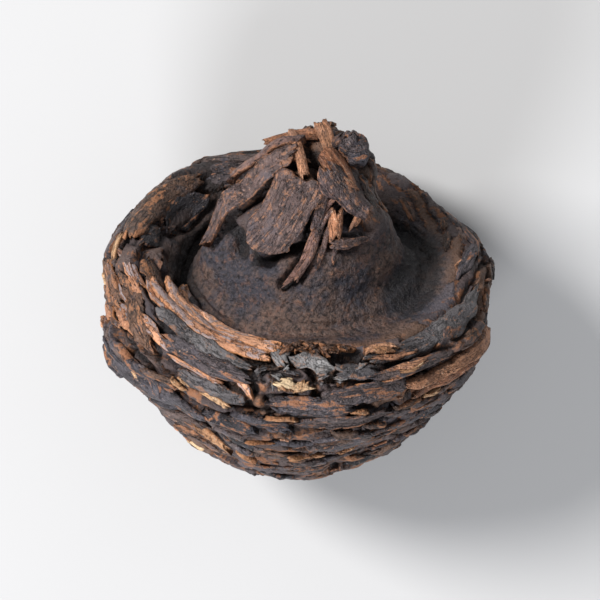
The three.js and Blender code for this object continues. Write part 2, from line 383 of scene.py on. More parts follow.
def finishMaterial(maker, colour, roughness, height):
    bump = maker.node("ShaderNodeBump", {}, {"Strength": 1.0, "Distance": finish["bumpDepth"], "Height": height})
    shader = maker.node("ShaderNodeBsdfPrincipled", {}, {
        "Base Color": colour, "Roughness": roughness, "Normal": bump, "Specular IOR Level": finish["gloss"]})
    maker.node("ShaderNodeOutputMaterial", {}, {"Surface": shader})


# Colours of the tea, as light in linear values.
tint = {
    "black": (0.006, 0.005, 0.006), "slate": (0.042, 0.037, 0.045), "plum": (0.064, 0.046, 0.046),
    "brown": (0.098, 0.057, 0.040), "russet": (0.26, 0.105, 0.045), "tan": (0.50, 0.28, 0.145),
    "cool": (0.060, 0.058, 0.074),
}


def objectPlace(maker):
    place = maker.node("ShaderNodeTexCoord", output="Object")
    return maker.vector("SCALE", place, 1000.0)


def noiseFrom(maker, place, pitch, detail=3.0, roughness=0.55, shift=0.0, distortion=0.0):
    return maker.node("ShaderNodeTexNoise", {"noise_dimensions": "4D"}, {
        "Vector": place, "W": shift, "Scale": 1 / pitch, "Detail": detail, "Roughness": roughness,
        "Distortion": distortion})


# Noise drawn out along the leaf's fibres, by how often it changes along and across them.
def fibreNoise(maker, along, across, shift, roughness=0.6, distortion=0.0):
    place = maker.node("ShaderNodeMapping", {}, {
        "Vector": maker.attribute("fibre", "Vector"), "Scale": (along, across, 1.0)})
    return noiseFrom(maker, place, 1.0, 3.0, roughness, shift, distortion)


# Pressed leaf: a tone for each leaf, torn paler edges, mottling and fine fibres along it.
def leafMaterial(name, look):
    material, maker = newMaterial(name)
    black = tint["black"]
    place, tone, edge = objectPlace(maker), maker.attribute("tone"), maker.attribute("edge")
    fibre = fibreNoise(maker, 0.5, 1.9, tone * 37.0)
    fleck = fibreNoise(maker, 1.1, 3.0, tone * 19.0 + 5.0, 0.7)
    stripe = fibreNoise(maker, 0.3, 1.5, tone * 11.0 + 3.0, 0.6, 0.3)
    broad = noiseFrom(maker, place, 2.2, 3.0, 0.6)
    mottle = noiseFrom(maker, place, 0.6, 4.0, 0.7, 3.0)
    crumb = noiseFrom(maker, place, 0.26, 3.0, 0.7, 9.0)
    vein, seam = (abs(lines - 0.5) for lines in (fibre, stripe))
    spots = fleck * 0.5 + crumb * 0.5
    patch = stripe * look["stripe"] + mottle * (1.5 - look["stripe"]) + fleck * 0.5
    frayed = edge + (mottle - 0.5) * 1.3 + (crumb - 0.5) * 0.7
    colour = maker.layered(maker.node("ShaderNodeValToRGB", {"stops": look["ramp"]}, {0: tone}), [
        (tint["cool"], broad, 0.52, 0.68, look["cool"]),
        (black, broad, 0.52, 0.36, look["gloom"]),
        (black, vein, 0.03, 0.0, maker.range(mottle, 0.45, 0.6) * 0.6),
        # Painted highlight: pale glints where the flecks and crumbs stand highest in the bump.
        (look["paintedGlintTint"], spots, 0.545, 0.63, 0.75),
        (look["mottleTint"], patch, look["mottleFrom"], look["mottleFrom"] + 0.11, look["mottle"]),
        (look["edgeTint"], frayed, look["edgeFrom"], look["edgeFrom"] + 0.2, look["edge"]),
        (black, seam, 0.017, 0.0, look["seam"]),
        (look["speckTint"], crumb, 0.63, 0.70, look["speck"]),
        (black, spots, 0.485, 0.40, look["pits"]),
    ])
    roughness = maker.range(mottle + crumb * 0.5, 0.5, 0.95, look["roughness"] - 0.12, look["roughness"] + 0.16)
    height = fibre * 0.6 + fleck * 0.6 + mottle * 0.8 + crumb * 0.7 - maker.range(seam, 0.03, 0.0) * 0.4
    finishMaterial(maker, colour, roughness, height)
    return material


# What each look has over its ramp: how strongly each mark shows, where it starts, and its tint.
looks = {
    "dark": {
        "ramp": [(0.0, (0.022, 0.019, 0.022)), (0.3, (0.062, 0.055, 0.065)), (0.65, (0.092, 0.067, 0.065)),
                 (1.0, (0.155, 0.096, 0.073))],
        "paintedGlintTint": (0.17, 0.15, 0.16), "mottleTint": (0.27, 0.115, 0.055), "speckTint": (0.52, 0.32, 0.2),
        "edgeTint": (0.26, 0.115, 0.055),
        "gloom": 0.5, "seam": 0.7, "cool": 0.8, "mottle": 0.85, "stripe": 1.1, "mottleFrom": 1.05, "pits": 0.8,
        "speck": 0.8, "edge": 0.7, "edgeFrom": 1.05, "roughness": 0.44,
    },
    "brown": {
        "ramp": [(0.0, tint["plum"]), (0.4, tint["brown"]), (0.8, (0.12, 0.062, 0.038)), (1.0, (0.19, 0.085, 0.045))],
        "paintedGlintTint": (0.17, 0.115, 0.095), "mottleTint": (0.33, 0.145, 0.068), "speckTint": (0.42, 0.22, 0.11),
        "edgeTint": (0.36, 0.16, 0.075),
        "gloom": 0.5, "seam": 0.7, "cool": 0.5, "mottle": 0.85, "stripe": 1.1, "mottleFrom": 1.03, "pits": 0.8,
        "speck": 0.5, "edge": 0.8, "edgeFrom": 0.95, "roughness": 0.48,
    },
    "pale": {
        "ramp": [(0.0, tint["russet"]), (0.5, tint["tan"]), (1.0, (0.64, 0.47, 0.29))],
        "paintedGlintTint": (0.75, 0.55, 0.36), "mottleTint": (0.16, 0.11, 0.085), "speckTint": (0.8, 0.6, 0.38),
        "edgeTint": tint["russet"],
        "gloom": 0.4, "seam": 0.5, "cool": 0.0, "mottle": 0.5, "stripe": 0.8, "mottleFrom": 1.08, "pits": 0.5,
        "speck": 0.5, "edge": 0.5, "edgeFrom": 0.8, "roughness": 0.58,
    },
    "orange": {
        "ramp": [(0.0, (0.12, 0.052, 0.03)), (0.5, (0.4, 0.18, 0.095)), (1.0, (0.92, 0.48, 0.29))],
        "paintedGlintTint": (0.64, 0.37, 0.23), "mottleTint": (0.26, 0.23, 0.245), "speckTint": (0.62, 0.38, 0.22),
        "edgeTint": (0.48, 0.2, 0.075),
        "gloom": 0.25, "seam": 0.7, "cool": 0.25, "mottle": 0.8, "stripe": 1.2, "mottleFrom": 0.99, "pits": 0.4,
        "speck": 0.6, "edge": 0.7, "edgeFrom": 0.7, "roughness": 0.5,
    },
    "grey": {
        "ramp": [(0.0, (0.034, 0.03, 0.036)), (0.5, (0.11, 0.1, 0.104)), (1.0, (0.28, 0.27, 0.27))],
        "paintedGlintTint": (0.17, 0.16, 0.165), "mottleTint": (0.28, 0.125, 0.06), "speckTint": (0.4, 0.3, 0.24),
        "edgeTint": (0.36, 0.16, 0.075),
        "gloom": 0.5, "seam": 0.6, "cool": 0.4, "mottle": 0.6, "stripe": 0.9, "mottleFrom": 1.07, "pits": 0.7,
        "speck": 0.5, "edge": 0.6, "edgeFrom": 0.92, "roughness": 0.38,
    },
    "tan": {
        "ramp": [(0.0, (0.21, 0.084, 0.042)), (0.5, (0.38, 0.162, 0.082)), (1.0, (0.57, 0.29, 0.165))],
        "paintedGlintTint": (0.68, 0.42, 0.28), "mottleTint": (0.12, 0.06, 0.042), "speckTint": (0.7, 0.5, 0.36),
        "edgeTint": (0.2, 0.1, 0.06),
        "gloom": 0.4, "seam": 0.6, "cool": 0.2, "mottle": 0.7, "stripe": 0.9, "mottleFrom": 1.03, "pits": 0.6,
        "speck": 0.5, "edge": 0.7, "edgeFrom": 0.7, "roughness": 0.5,
    },
    "rosy": {
        "ramp": [(0.0, (0.045, 0.03, 0.034)), (0.5, (0.105, 0.068, 0.062)), (1.0, (0.21, 0.115, 0.095))],
        "paintedGlintTint": (0.2, 0.145, 0.135), "mottleTint": (0.27, 0.13, 0.075), "speckTint": (0.36, 0.22, 0.16),
        "edgeTint": (0.34, 0.16, 0.09),
        "gloom": 0.5, "seam": 0.2, "cool": 0.5, "mottle": 0.7, "stripe": 0.5, "mottleFrom": 1.03, "pits": 0.85,
        "speck": 0.5, "edge": 0.7, "edgeFrom": 0.85, "roughness": 0.44,
    },
}
materials = {name: leafMaterial("pressed_leaf_" + name, look) for name, look in looks.items()}
print("materials made")

# Seeds of the pressed leaves over the whole core, and how strongly they show by share of the section.
mosaic = {
    "tries": 9000, "grid": 160, "apart": 0.82, "seed": 4, "lengths": (0.6, 1.3), "widths": (0.7, 1.3),
    "warp": 0.6, "warpPitch": 2.2, "fray": 0.24, "frayPitch": 0.55,
    "share": [0, 0.50, 0.56, 0.60, 0.70, 0.79, 0.84, 1],
    "length": [8, 10, 12, 9, 8, 9, 9, 7],
    "width": [2.4, 2.1, 1.8, 3.4, 4.2, 3.6, 2.6, 2.2],
    "depth": [1, 1, 0.9, 0.3, 0.16, 0.22, 0.9, 1],
    # crack: how deep the cracks between leaves sink into the relief; their mask also paints shade into them.
    "height": 0.3, "tilt": 0.1, "shingle": 0.17, "crack": 0.62, "crackWidth": 0.14, "crackPitch": 3.5,
    "pillow": 0.22, "sprawl": 13, "edgeWidth": 0.35, "creases": (0.16, 0.08), "wrinkles": 0.035, "grain": 0.07,
}
core = {
    "zones": {"pressed_cap": (0, 0.575, 172, 556), "pressed_stem": (0.575, 1, 216, 430)},
    "lidHeight": -4.5, "lidNarrowing": 0.97, "wrinkle": 0.2, "grit": 0.06, "poleFade": 1.2,
    # painted shade where the hollow and its far wall lie in shadow, and a darker tone over the far rim's top: round the
    # axis, along the section, and how strongly
    "hollowShade": (([0, 195, 235, 290, 335, 360], [1, 1, 0, 0, 1, 1]),
                    ([0.572, 0.615, 0.69, 0.74], [0, 1, 1, 0]), 0.85),
    "wallShade": (([70, 95, 120, 150, 165, 185], [0, 1, 1, 0.75, 0.75, 0]),
                  ([0.48, 0.51, 0.545, 0.565, 0.60, 0.62], [0, 0.9, 0.9, 1, 1, 0]), 0.8),
}


# Where a grid of shares and angles lies, with the way out and the way round.
def surfaceGrid(share, angle, turn=0.004, move=0.001):
    shares, angles = np.meshgrid(share, angle, indexing="ij")
    flat = surfacePoint(shares, angles)
    around = surfacePoint(shares, angles + turn) - surfacePoint(shares, angles - turn)
    along = surfacePoint(np.minimum(shares + move, 1), angles) - surfacePoint(np.maximum(shares - move, 0), angles)
    outward = np.cross(around, along)
    outward[shares == 0] = (0, 0, -1)
    outward[shares == 1] = (0, 0, 1)
    return shares, angles, flat, unit(outward), around


# The way that the leaves lie at each point, turned by some degrees.
def grainAt(shares, outward, around, turn=0.0):
    heading = np.radians(np.interp(shares, grain["share"], grain["heading"]) + turn)
    around = unit(around)
    across = grain["poleWay"] - outward * dotted(outward, grain["poleWay"])[..., None]
    across = across * np.where(dotted(around, across) < 0, -1, 1)[..., None]
    near = 1 - smoothstep(shares, *grain["poleShare"])
    around = unit(lerp(around, across, near[..., None]))
    up = np.cross(outward, around)
    return unit(around * np.cos(heading)[..., None] + up * np.sin(heading)[..., None])


leafReach = 3  # how far off the surface a leaf still counts, in millimetres


# Throws leaf seeds on the core, each with its own heading, and keeps those that don't crowd.
def leafSeeds():
    k = mosaic
    draws = np.random.default_rng(k["seed"])
    share, _, flat, outward, around = surfaceGrid(np.linspace(0.01, 0.995, k["grid"]), fullTurn(k["grid"]))
    radius = np.hypot(flat[..., 0], flat[..., 1])
    weight = (radius + 0.4) / np.interp(share, k["share"], k["width"])
    picks = draws.choice(weight.size, k["tries"], p=(weight / weight.sum()).ravel())
    place, out = flat.reshape(-1, 3)[picks], outward.reshape(-1, 3)[picks]
    shares = share.ravel()[picks]
    way = grainAt(shares, out, around.reshape(-1, 3)[picks], draws.normal(0, k["sprawl"], len(picks)))
    length = np.interp(shares, k["share"], k["length"]) * draws.uniform(*k["lengths"], len(picks)) / 2
    width = np.interp(shares, k["share"], k["width"]) * draws.uniform(*k["widths"], len(picks)) / 2
    side = np.cross(out, way)
    kept = []
    for i in range(len(picks)):
        if kept:
            gap = place[kept] - place[i]
            axes = ((way[i], length[i]), (side[i], width[i]), (out[i], leafReach))
            if sum((dotted(gap, axis) / size) ** 2 for axis, size in axes).min() < (2 * k["apart"]) ** 2:
                continue
        kept.append(i)
    return {"place": place[kept], "way": way[kept], "side": side[kept], "out": out[kept], "length": length[kept],
            "width": width[kept], "height": draws.uniform(-1, 1, len(kept)), "tilt": draws.uniform(-1, 1, len(kept)),
            "tone": draws.uniform(0, 1, len(kept))}


# Which leaf covers each point, how far its edge is, and what that does to the surface.
def leafField(points, seeds, batch=3000):
    answer = {title: np.empty(len(points)) for title in ("along", "across", "edge", "leaf")}
    for start in range(0, len(points), batch):
        now = slice(start, start + batch)
        part = points[now]
        gap = part[:, None] - seeds["place"][None]
        sizes = {"way": seeds["length"], "side": seeds["width"], "out": leafReach}
        along, across, off = (np.einsum("ijk,jk->ij", gap, seeds[axis]) / size for axis, size in sizes.items())
        far = along ** 2 + across ** 2 + off ** 2
        two = np.argpartition(far, 1, axis=1)[:, :2]
        rows = np.arange(len(part))[:, None]
        two = two[rows, np.argsort(far[rows, two], axis=1)]
        first, second = two.T
        rows = rows[:, 0]
        between = seeds["place"][second] - seeds["place"][first]
        toAlong = dotted(between, seeds["way"][first]) / seeds["length"][first]
        toAcross = dotted(between, seeds["side"][first]) / seeds["width"][first]
        apart = np.sqrt(toAlong ** 2 + toAcross ** 2) + 1e-6
        distance = (far[rows, second] - far[rows, first]) / (2 * apart)
        slope = np.hypot(toAlong / apart / seeds["length"][first], toAcross / apart / seeds["width"][first])
        answer["edge"][now] = distance / slope
        answer["along"][now] = along[rows, first] * seeds["length"][first]
        answer["across"][now] = across[rows, first] * seeds["width"][first]
        answer["leaf"][now] = first
    return answer


seeds = leafSeeds()
print("leaf seeds", len(seeds["place"]))

# Gaps and pits pressed or torn open: direction, share, heading, half length, half width and depth.
# A depth below zero is a swelling.
dents = [
    (172, 0.590, -14, 6.0, 2.2, -0.8), (150, 0.575, -14, 4.5, 2.0, -0.5), (200, 0.600, -14, 4.5, 1.6, -0.4),
    (238, 0.519, -9, 6.5, 0.42, 1.3), (286, 0.537, -6, 3.8, 0.7, 2.7), (290, 0.487, -10, 0.8, 0.5, 1.8),
    (250, 0.958, -10, 2.4, 1.2, 2.0), (266, 0.885, 78, 3.0, 0.5, 1.9), (28, 0.915, 90, 2.6, 2.4, 1.2),
    (290, 0.955, -20, 1.4, 0.8, 1.2), (206, 0.800, -30, 2.2, 1.0, 1.5), (247, 0.810, 34, 3.4, 0.5, 2.2),
    (306, 0.850, -30, 1.6, 0.7, 1.2), (268, 0.915, -78, 3.4, 0.35, 0.8), (344, 0.930, -60, 1.5, 1.0, 1.4),
    (222, 0.372, 12, 4.0, 0.4, 1.0), (262, 0.440, -12, 5.0, 0.35, 0.9), (216, 0.470, -20, 3.5, 0.4, 1.0),
    (200, 0.510, -40, 2.6, 0.4, 0.9), (286, 0.380, -8, 5.0, 0.35, 0.8), (250, 0.330, 4, 5.5, 0.35, 0.9),
]


# One leaf on the lump: its path of directions and shares, width along it, thickness, lift and tone.
def blade(path, width, thick, lift, tone, **more):
    return {"path": path, "width": width, "thick": thick, "lift": lift, "tone": tone, **more}


def chip(path, width, tone):
    return blade(path, width, 0.3, 0.45, tone, ragged=0.5, step=0.16)


# Leaves that the photo shows one by one, by the piece that they are joined to.
leafGroups = {
    "rim_ribbons": ("orange", [
        blade([(180, 0.486), (190, 0.498), (203, 0.507)], (0.3, 0.6, 0.3), 0.25, 0.12, 0.15, ragged=0.5),
        blade([(179, 0.512), (190, 0.528), (201, 0.54)], (0.3, 0.7, 0.3), 0.25, 0.12, 0.1, ragged=0.5),
        blade([(200, 0.494), (211, 0.503), (224, 0.506)], (0.4, 0.8, 0.4), 0.25, 0.12, 0.15, ragged=0.5),
        blade([(186, 0.462), (197, 0.474), (208, 0.481)], (0.3, 0.6, 0.3), 0.25, 0.1, 0.1, ragged=0.5),
        blade([(192, 0.59), (208, 0.58), (224, 0.577), (238, 0.568), (251, 0.556), (263, 0.544)],
              (1.2, 2.2, 1.8, 1.6, 1.4, 0.8), 0.5, 0.5, 0.85),
        blade([(190, 0.622), (206, 0.614), (226, 0.603), (246, 0.585), (262, 0.558)], (1.0, 2.0, 1.8, 1.4, 0.8),
              0.55, 0.45, 0.9),
        blade([(204, 0.6), (222, 0.595), (240, 0.581), (256, 0.563)], (0.7, 1.0, 1.0, 0.6), 0.45, 0.6, 0.5),
        blade([(198, 0.552), (212, 0.556), (230, 0.553), (246, 0.541), (261, 0.53)], (0.9, 1.5, 1.4, 1.3, 0.7), 0.5,
              0.4, 0.7),
        blade([(215, 0.567), (230, 0.562), (247, 0.549), (259, 0.538)], 0.5, 0.4, 0.45, 0.3),
        blade([(184, 0.457), (193, 0.463), (203, 0.476)], 0.5, 0.3, 0.15, 0.6, ragged=0.4),
        blade([(186, 0.524), (196, 0.527), (206, 0.528)], (0.4, 0.9, 0.4), 0.25, 0.12, 0.6, ragged=0.5),
        blade([(214, 0.515), (222, 0.51), (230, 0.5)], (0.5, 0.9, 0.5), 0.35, 0.25, 0.7, ragged=0.4),
        blade([(229, 0.492), (238, 0.487), (247, 0.478)], 0.6, 0.4, 0.45, 0.6),
        blade([(251, 0.5), (254, 0.485), (256, 0.47)], (0.5, 1.0, 0.5), 0.45, 0.45, 0.8, ragged=0.35),
        blade([(286, 0.483), (296, 0.474), (306, 0.47)], 0.6, 0.4, 0.3, 0.5),
        blade([(196, 0.486), (206, 0.491), (217, 0.489)], (0.4, 0.8, 0.4), 0.3, 0.15, 0.45, ragged=0.5),
        blade([(200, 0.545), (209, 0.546), (219, 0.544)], (0.4, 0.8, 0.4), 0.3, 0.15, 0.5, ragged=0.5),
    ]),
    "rim_curls": ("tan", [
        blade([(303, 0.45), (312, 0.442), (321, 0.444), (331, 0.44), (342, 0.436)], (0.5, 1.1, 0.9, 1.3, 0.5), 0.7,
              0.5, 0.85, edgeUp=(0.3, 0), ragged=0.35),
        blade([(306, 0.424), (318, 0.42), (331, 0.418)], (0.6, 1.4, 0.6), 0.35, 0.3, 0.2, ragged=0.4),
        blade([(292, 0.535), (296, 0.543), (301, 0.541), (303, 0.533)], (0.5, 0.8, 0.6, 0.4), 0.4, 0.55, 1.0,
              ragged=0.35),
        blade([(295, 0.525), (301, 0.519), (307, 0.513)], (0.4, 0.8, 0.4), 0.35, 0.4, 0.75, ragged=0.4),
        blade([(299, 0.5), (304, 0.493), (311, 0.49)], (0.4, 0.9, 0.4), 0.35, 0.4, 0.9, ragged=0.4),
    ]),
    "rim_leaves": ("grey", [
        blade([(216, 0.535), (230, 0.534), (243, 0.524), (255, 0.512)], (0.8, 1.4, 1.4, 0.8), 0.5, 0.4, 0.6),
        blade([(261, 0.548), (265, 0.53)], (1.3, 1.8, 1.5), 0.4, 0.3, 0.85, ragged=0.45),
        blade([(268, 0.533), (274, 0.525), (280, 0.517)], (1.3, 2.0, 1.3), 0.4, 0.27, 0.9, ragged=0.45),
        blade([(283, 0.511), (292, 0.503)], 1.8, 0.4, 0.3, 0.4, ragged=0.4),
        blade([(233, 0.476), (241, 0.469), (248, 0.464), (255, 0.458)], (0.8, 1.5, 1.4, 0.9), 0.45, 0.45, 0.5),
        blade([(292, 0.528), (310, 0.524), (328, 0.522), (346, 0.52)], (1.6, 3.0, 3.0, 1.8), 0.4, 0.1, 0.45,
              keel=0.6, ragged=0.25),
        blade([(179, 0.545), (172, 0.556), (164, 0.566)], (1.4, 2.2, 1.2), 0.4, 0.2, 0.1, ragged=0.4),
    ]),
    "rim_brown_leaves": ("brown", [
        blade([(258, 0.562), (268, 0.563), (280, 0.56), (289, 0.554)], (0.6, 1.6, 1.5, 0.7), 0.35, 0.1, 0.55,
              ragged=0.5),
        blade([(177, 0.476), (184, 0.479), (192, 0.483), (201, 0.496)], (1.2, 2.2, 2.2, 1.2), 0.4, 0.1, 0.85,
              ragged=0.3),
        blade([(190, 0.51), (202, 0.514), (214, 0.503), (223, 0.484)], (0.8, 1.8, 1.8, 0.9), 0.35, 0.12, 0.75,
              ragged=0.35),
        blade([(176, 0.532), (162, 0.54), (147, 0.546), (131, 0.552)], (1.5, 2.6, 2.5, 1.4), 0.5, 0.3, 0.6,
              ragged=0.25),
        blade([(187, 0.554), (195, 0.558), (204, 0.56)], (1.2, 2.4, 1.2), 0.35, 0.12, 0.8, ragged=0.4),
    ]),
    "rim_dark_leaves": ("dark", [
        blade([(226, 0.511), (235, 0.509), (245, 0.501), (255, 0.493)], (0.9, 2.2, 2.2, 1.0), 0.55, 0.35, 0.5,
              edgeUp=(0, 0.25)),
        blade([(217, 0.455), (222, 0.43), (226, 0.408)], (1.0, 1.7, 1.0), 0.6, 0.4, 0.3),
        blade([(160, 0.58), (146, 0.58), (132, 0.578)], (1.6, 2.8, 1.6), 0.5, 0.3, 0.0, ragged=0.3),
        blade([(206, 0.43), (216, 0.416), (228, 0.404), (240, 0.397)], (1.2, 2.4, 2.4, 1.2), 0.55, 0.35, 0.4),
        blade([(252, 0.433), (259, 0.42), (267, 0.402)], (1.0, 2.0, 1.2), 0.5, 0.35, 0.35),
        blade([(242, 0.412), (249, 0.406), (257, 0.398)], (0.8, 1.5, 0.9), 0.5, 0.35, 0.2),
        blade([(268, 0.42), (282, 0.412), (297, 0.409)], (1.2, 2.4, 1.4), 0.45, 0.3, 0.55),
        blade([(276, 0.47), (290, 0.462), (303, 0.452)], (1.2, 2.6, 1.4), 0.45, 0.3, 0.6),
        blade([(291, 0.492), (304, 0.482), (318, 0.474)], (1.3, 2.5, 1.3), 0.4, 0.22, 0.75),
        blade([(262, 0.458), (273, 0.449), (284, 0.441)], (1.2, 2.2, 1.2), 0.4, 0.28, 0.5),
    ]),
    "stem_leaves": ("rosy", [
        blade([(246, 0.928), (239, 0.876), (233, 0.825)], (4.2, 5.2, 4.8), 0.6, 0.55, 0.5, taper=0.12, tip=0.75,
              endTear=0.25, slant=-0.3, point=1.3, endUp=(0, 0.5), edgeUp=(0, 0.15), wave=0.15, ragged=0.1),
        blade([(221, 0.952), (208, 0.925), (198, 0.878), (193, 0.828), (191, 0.765)], (1.2, 1.7, 1.8, 1.7, 1.0),
              0.5, 0.8, 0.45, endUp=(0, -0.6), edgeUp=(0.5, 0.1)),
        blade([(208, 0.975), (192, 0.95), (180, 0.9), (175, 0.85)], 0.75, 0.7, 1.1, 0.7),
        blade([(281, 0.938), (294, 0.91), (312, 0.868)], (1.9, 2.8, 1.5), 0.5, 1.0, 0.3, endUp=(0, 0.4)),
        blade([(282, 0.833), (300, 0.825), (319, 0.818)], (0.9, 1.0, 0.5), 0.35, 0.55, 0.5, ragged=0.35),
        blade([(275, 0.925), (272, 0.885), (269, 0.85)], 1.1, 0.45, 0.4, 0.35),
        blade([(292, 0.905), (276, 0.88), (268, 0.845), (264, 0.805), (256, 0.768)], (0.5, 0.7, 0.7, 0.7, 0.6), 0.3,
              0.2, 1.1, ragged=0.3, tip=0.8),
        blade([(286, 0.885), (274, 0.855), (269, 0.815), (262, 0.775)], (0.4, 0.6, 0.6, 0.5), 0.3, 0.25, 0.8,
              ragged=0.3, tip=0.8),
        blade([(283, 0.86), (279, 0.825), (276, 0.8)], (0.5, 0.7, 0.5), 0.25, 0.12, 0.7, ragged=0.3),
        blade([(291, 0.85), (289, 0.82), (287, 0.802)], (0.4, 0.5, 0.4), 0.25, 0.12, 0.35, ragged=0.3),
    ]),
    "stem_twigs": ("tan", [
        blade([(288, 0.878), (287, 0.84)], (1.0, 1.2, 1.1), 0.6, 0.45, 0.6, ragged=0.2, tip=0.9, taper=0.1,
              endTear=1.2),
        blade([(312, 0.874), (307, 0.85)], 0.7, 0.4, 0.4, 0.6, ragged=0.4, tip=0.9, endTear=1.0),
        blade([(300, 0.925), (310, 0.905)], 0.5, 0.3, 1.2, 0.5, ragged=0.4),
    ]),
    "golden_chips": ("pale", [
        chip([(293, 0.541), (297, 0.537), (301, 0.529)], (0.4, 0.8, 0.3), 0.25),
        chip([(264, 0.493), (268, 0.491)], (0.9, 1.2, 0.9), 0.95),
        chip([(268, 0.487), (273, 0.485)], (0.8, 1.0, 0.7), 0.75),
        chip([(176, 0.52), (181, 0.508)], 0.51, 0.65),
        chip([(300, 0.49), (304, 0.484), (309, 0.489)], 0.42, 0.35),
        chip([(230, 0.376), (238, 0.356)], 0.51, 0.35),
        chip([(229, 0.3), (237, 0.294), (243, 0.29)], 0.59, 0.25),
        chip([(247, 0.302), (255, 0.289)], 0.51, 0.15),
        chip([(267, 0.322), (272, 0.31), (277, 0.314)], 0.59, 0.35),
        chip([(216, 0.428), (219, 0.412), (218, 0.395)], (0.3, 0.6, 0.4), 0.65),
        chip([(312, 0.402), (317, 0.396)], 0.77, 0.65),
        chip([(241, 0.456), (250, 0.446)], 0.59, 0.65),
        chip([(234, 0.462), (237, 0.456)], 0.42, 0.45),
        chip([(296, 0.458), (301, 0.45)], 0.42, 0.25),
        chip([(284, 0.436), (290, 0.43)], 0.34, 0.15),
        chip([(262, 0.436), (268, 0.43)], 0.34, 0.25),
        chip([(255, 0.37), (262, 0.362)], 0.42, 0.15),
    ]),
}

# A torn end of pale fibres at the front.
fibreDraws = np.random.default_rng(17)
for turn in fibreDraws.uniform(-1, 1, 15):
    start = (268 + turn * 3.5, 0.480 + fibreDraws.uniform(-0.003, 0.008))
    reach = fibreDraws.uniform(0.002, 0.009)
    end = (start[0] + turn * 2 + fibreDraws.uniform(-1.5, 1.5), start[1] + reach)
    leafGroups["golden_chips"][1].append(blade([start, end], fibreDraws.uniform(0.22, 0.4), 0.24,
                                               fibreDraws.uniform(0.2, 0.45), fibreDraws.uniform(0.0, 0.9),
                                               ragged=0.5, step=0.13))

# Crumbs along the torn lip of the hollow, by the group that they join: how many, where from, and their sizes.
crumbReach = {"around": 34, "turn": (-3, 3), "share": (-0.008, 0.008), "thick": 0.3}
crumbs = {
    "rim_brown_leaves": {"count": 34, "angle": 252, "share": 0.551, "spread": (-0.004, 0.014), "width": (0.25, 0.6),
                         "lift": (0.25, 0.55), "tone": (0.3, 1.3), "step": 0.16},
    "rim_leaves": {"count": 18, "angle": 256, "share": 0.502, "spread": (-0.016, 0.018), "width": (0.3, 0.8),
                   "lift": (0.2, 0.4), "tone": (0.2, 1.0), "step": 0.18},
}
crumbDraws = np.random.default_rng(23)
for title, k in crumbs.items():
    for turn in crumbDraws.uniform(0, 1, k["count"]):
        start = (k["angle"] + turn * crumbReach["around"], k["share"] + crumbDraws.uniform(*k["spread"]))
        end = (start[0] + crumbDraws.uniform(*crumbReach["turn"]), start[1] + crumbDraws.uniform(*crumbReach["share"]))
        leafGroups[title][1].append(blade([start, end], crumbDraws.uniform(*k["width"]), crumbReach["thick"],
                                          crumbDraws.uniform(*k["lift"]), crumbDraws.uniform(*k["tone"]),
                                          ragged=0.5, step=k["step"]))


def allLeaves():
    return itertools.chain(*(leaves for _, leaves in leafGroups.values()))


# The smoothed path of a leaf, in angles and shares, and half its width along that path.
def leafPath(leaf, count):
    return smoothRun([(math.radians(at), share) for at, share in leaf["path"]], count)


def halfWidths(leaf, count):
    widths = [(width,) for width in np.atleast_1d(leaf["width"])]
    return smoothRun(widths if len(widths) > 1 else widths * 2, count)[:, 0] / 2


# The groove pressed round each placed leaf, in millimetres. A leaf thinner than this makes none.
groove = {"depth": 0.8, "width": 0.42, "reach": 4, "thinnest": 0.3, "stations": 24}


# Points along the middle of every placed leaf, and how far each leaf reaches from there.
def leafMiddles():
    middles, reaches = [], []
    for leaf in allLeaves():
        if leaf["thick"] >= groove["thinnest"]:
            path = leafPath(leaf, groove["stations"])
            middles.append(surfacePoint(path[:, 1], path[:, 0]))
            reaches.append(halfWidths(leaf, groove["stations"]))
    return np.concatenate(middles), np.concatenate(reaches)


# How deep the groove round the placed leaves is at each point.
def grooveDepth(flat):
    middles, reaches = leafMiddles()
    tree = KDTree(len(middles))
    for number, middle in enumerate(middles):
        tree.insert(middle, number)
    tree.balance()
    depth = np.zeros(len(flat))
    for number, point in enumerate(flat):
        _, index, far = tree.find(point)
        if far < groove["reach"]:
            depth[number] = groove["depth"] * math.exp(-((far - reaches[index]) / groove["width"]) ** 2)
    return depth


# How deep the gaps and pits are at each point.
def dentDepth(flat):
    total = np.zeros(flat.shape[:-1])
    for angle, share, heading, long_, wide, depth in dents:
        shares, _, place, outward, around = surfaceGrid([share], [math.radians(angle)])
        way = grainAt(shares, outward, around, heading - np.interp(share, grain["share"], grain["heading"]))
        side = np.cross(outward, way)
        gap = flat - place[0, 0]
        along, across, off = (gap @ axis[0, 0] for axis in (way, side, outward))
        across = across + noise(together(along, 0.0, depth), 1.6, 51) * 0.35
        total += depth * np.exp(-(np.abs(along) / long_) ** 3 - (across / wide) ** 2 - (off / leafReach) ** 2)
    return total


# Thin lines where a noise passes zero, the thinner the sharper.
def lines(points, pitch, seed, sharpness):
    return np.clip(1 - np.abs(noise(points, pitch, seed)) * sharpness, 0, 1)


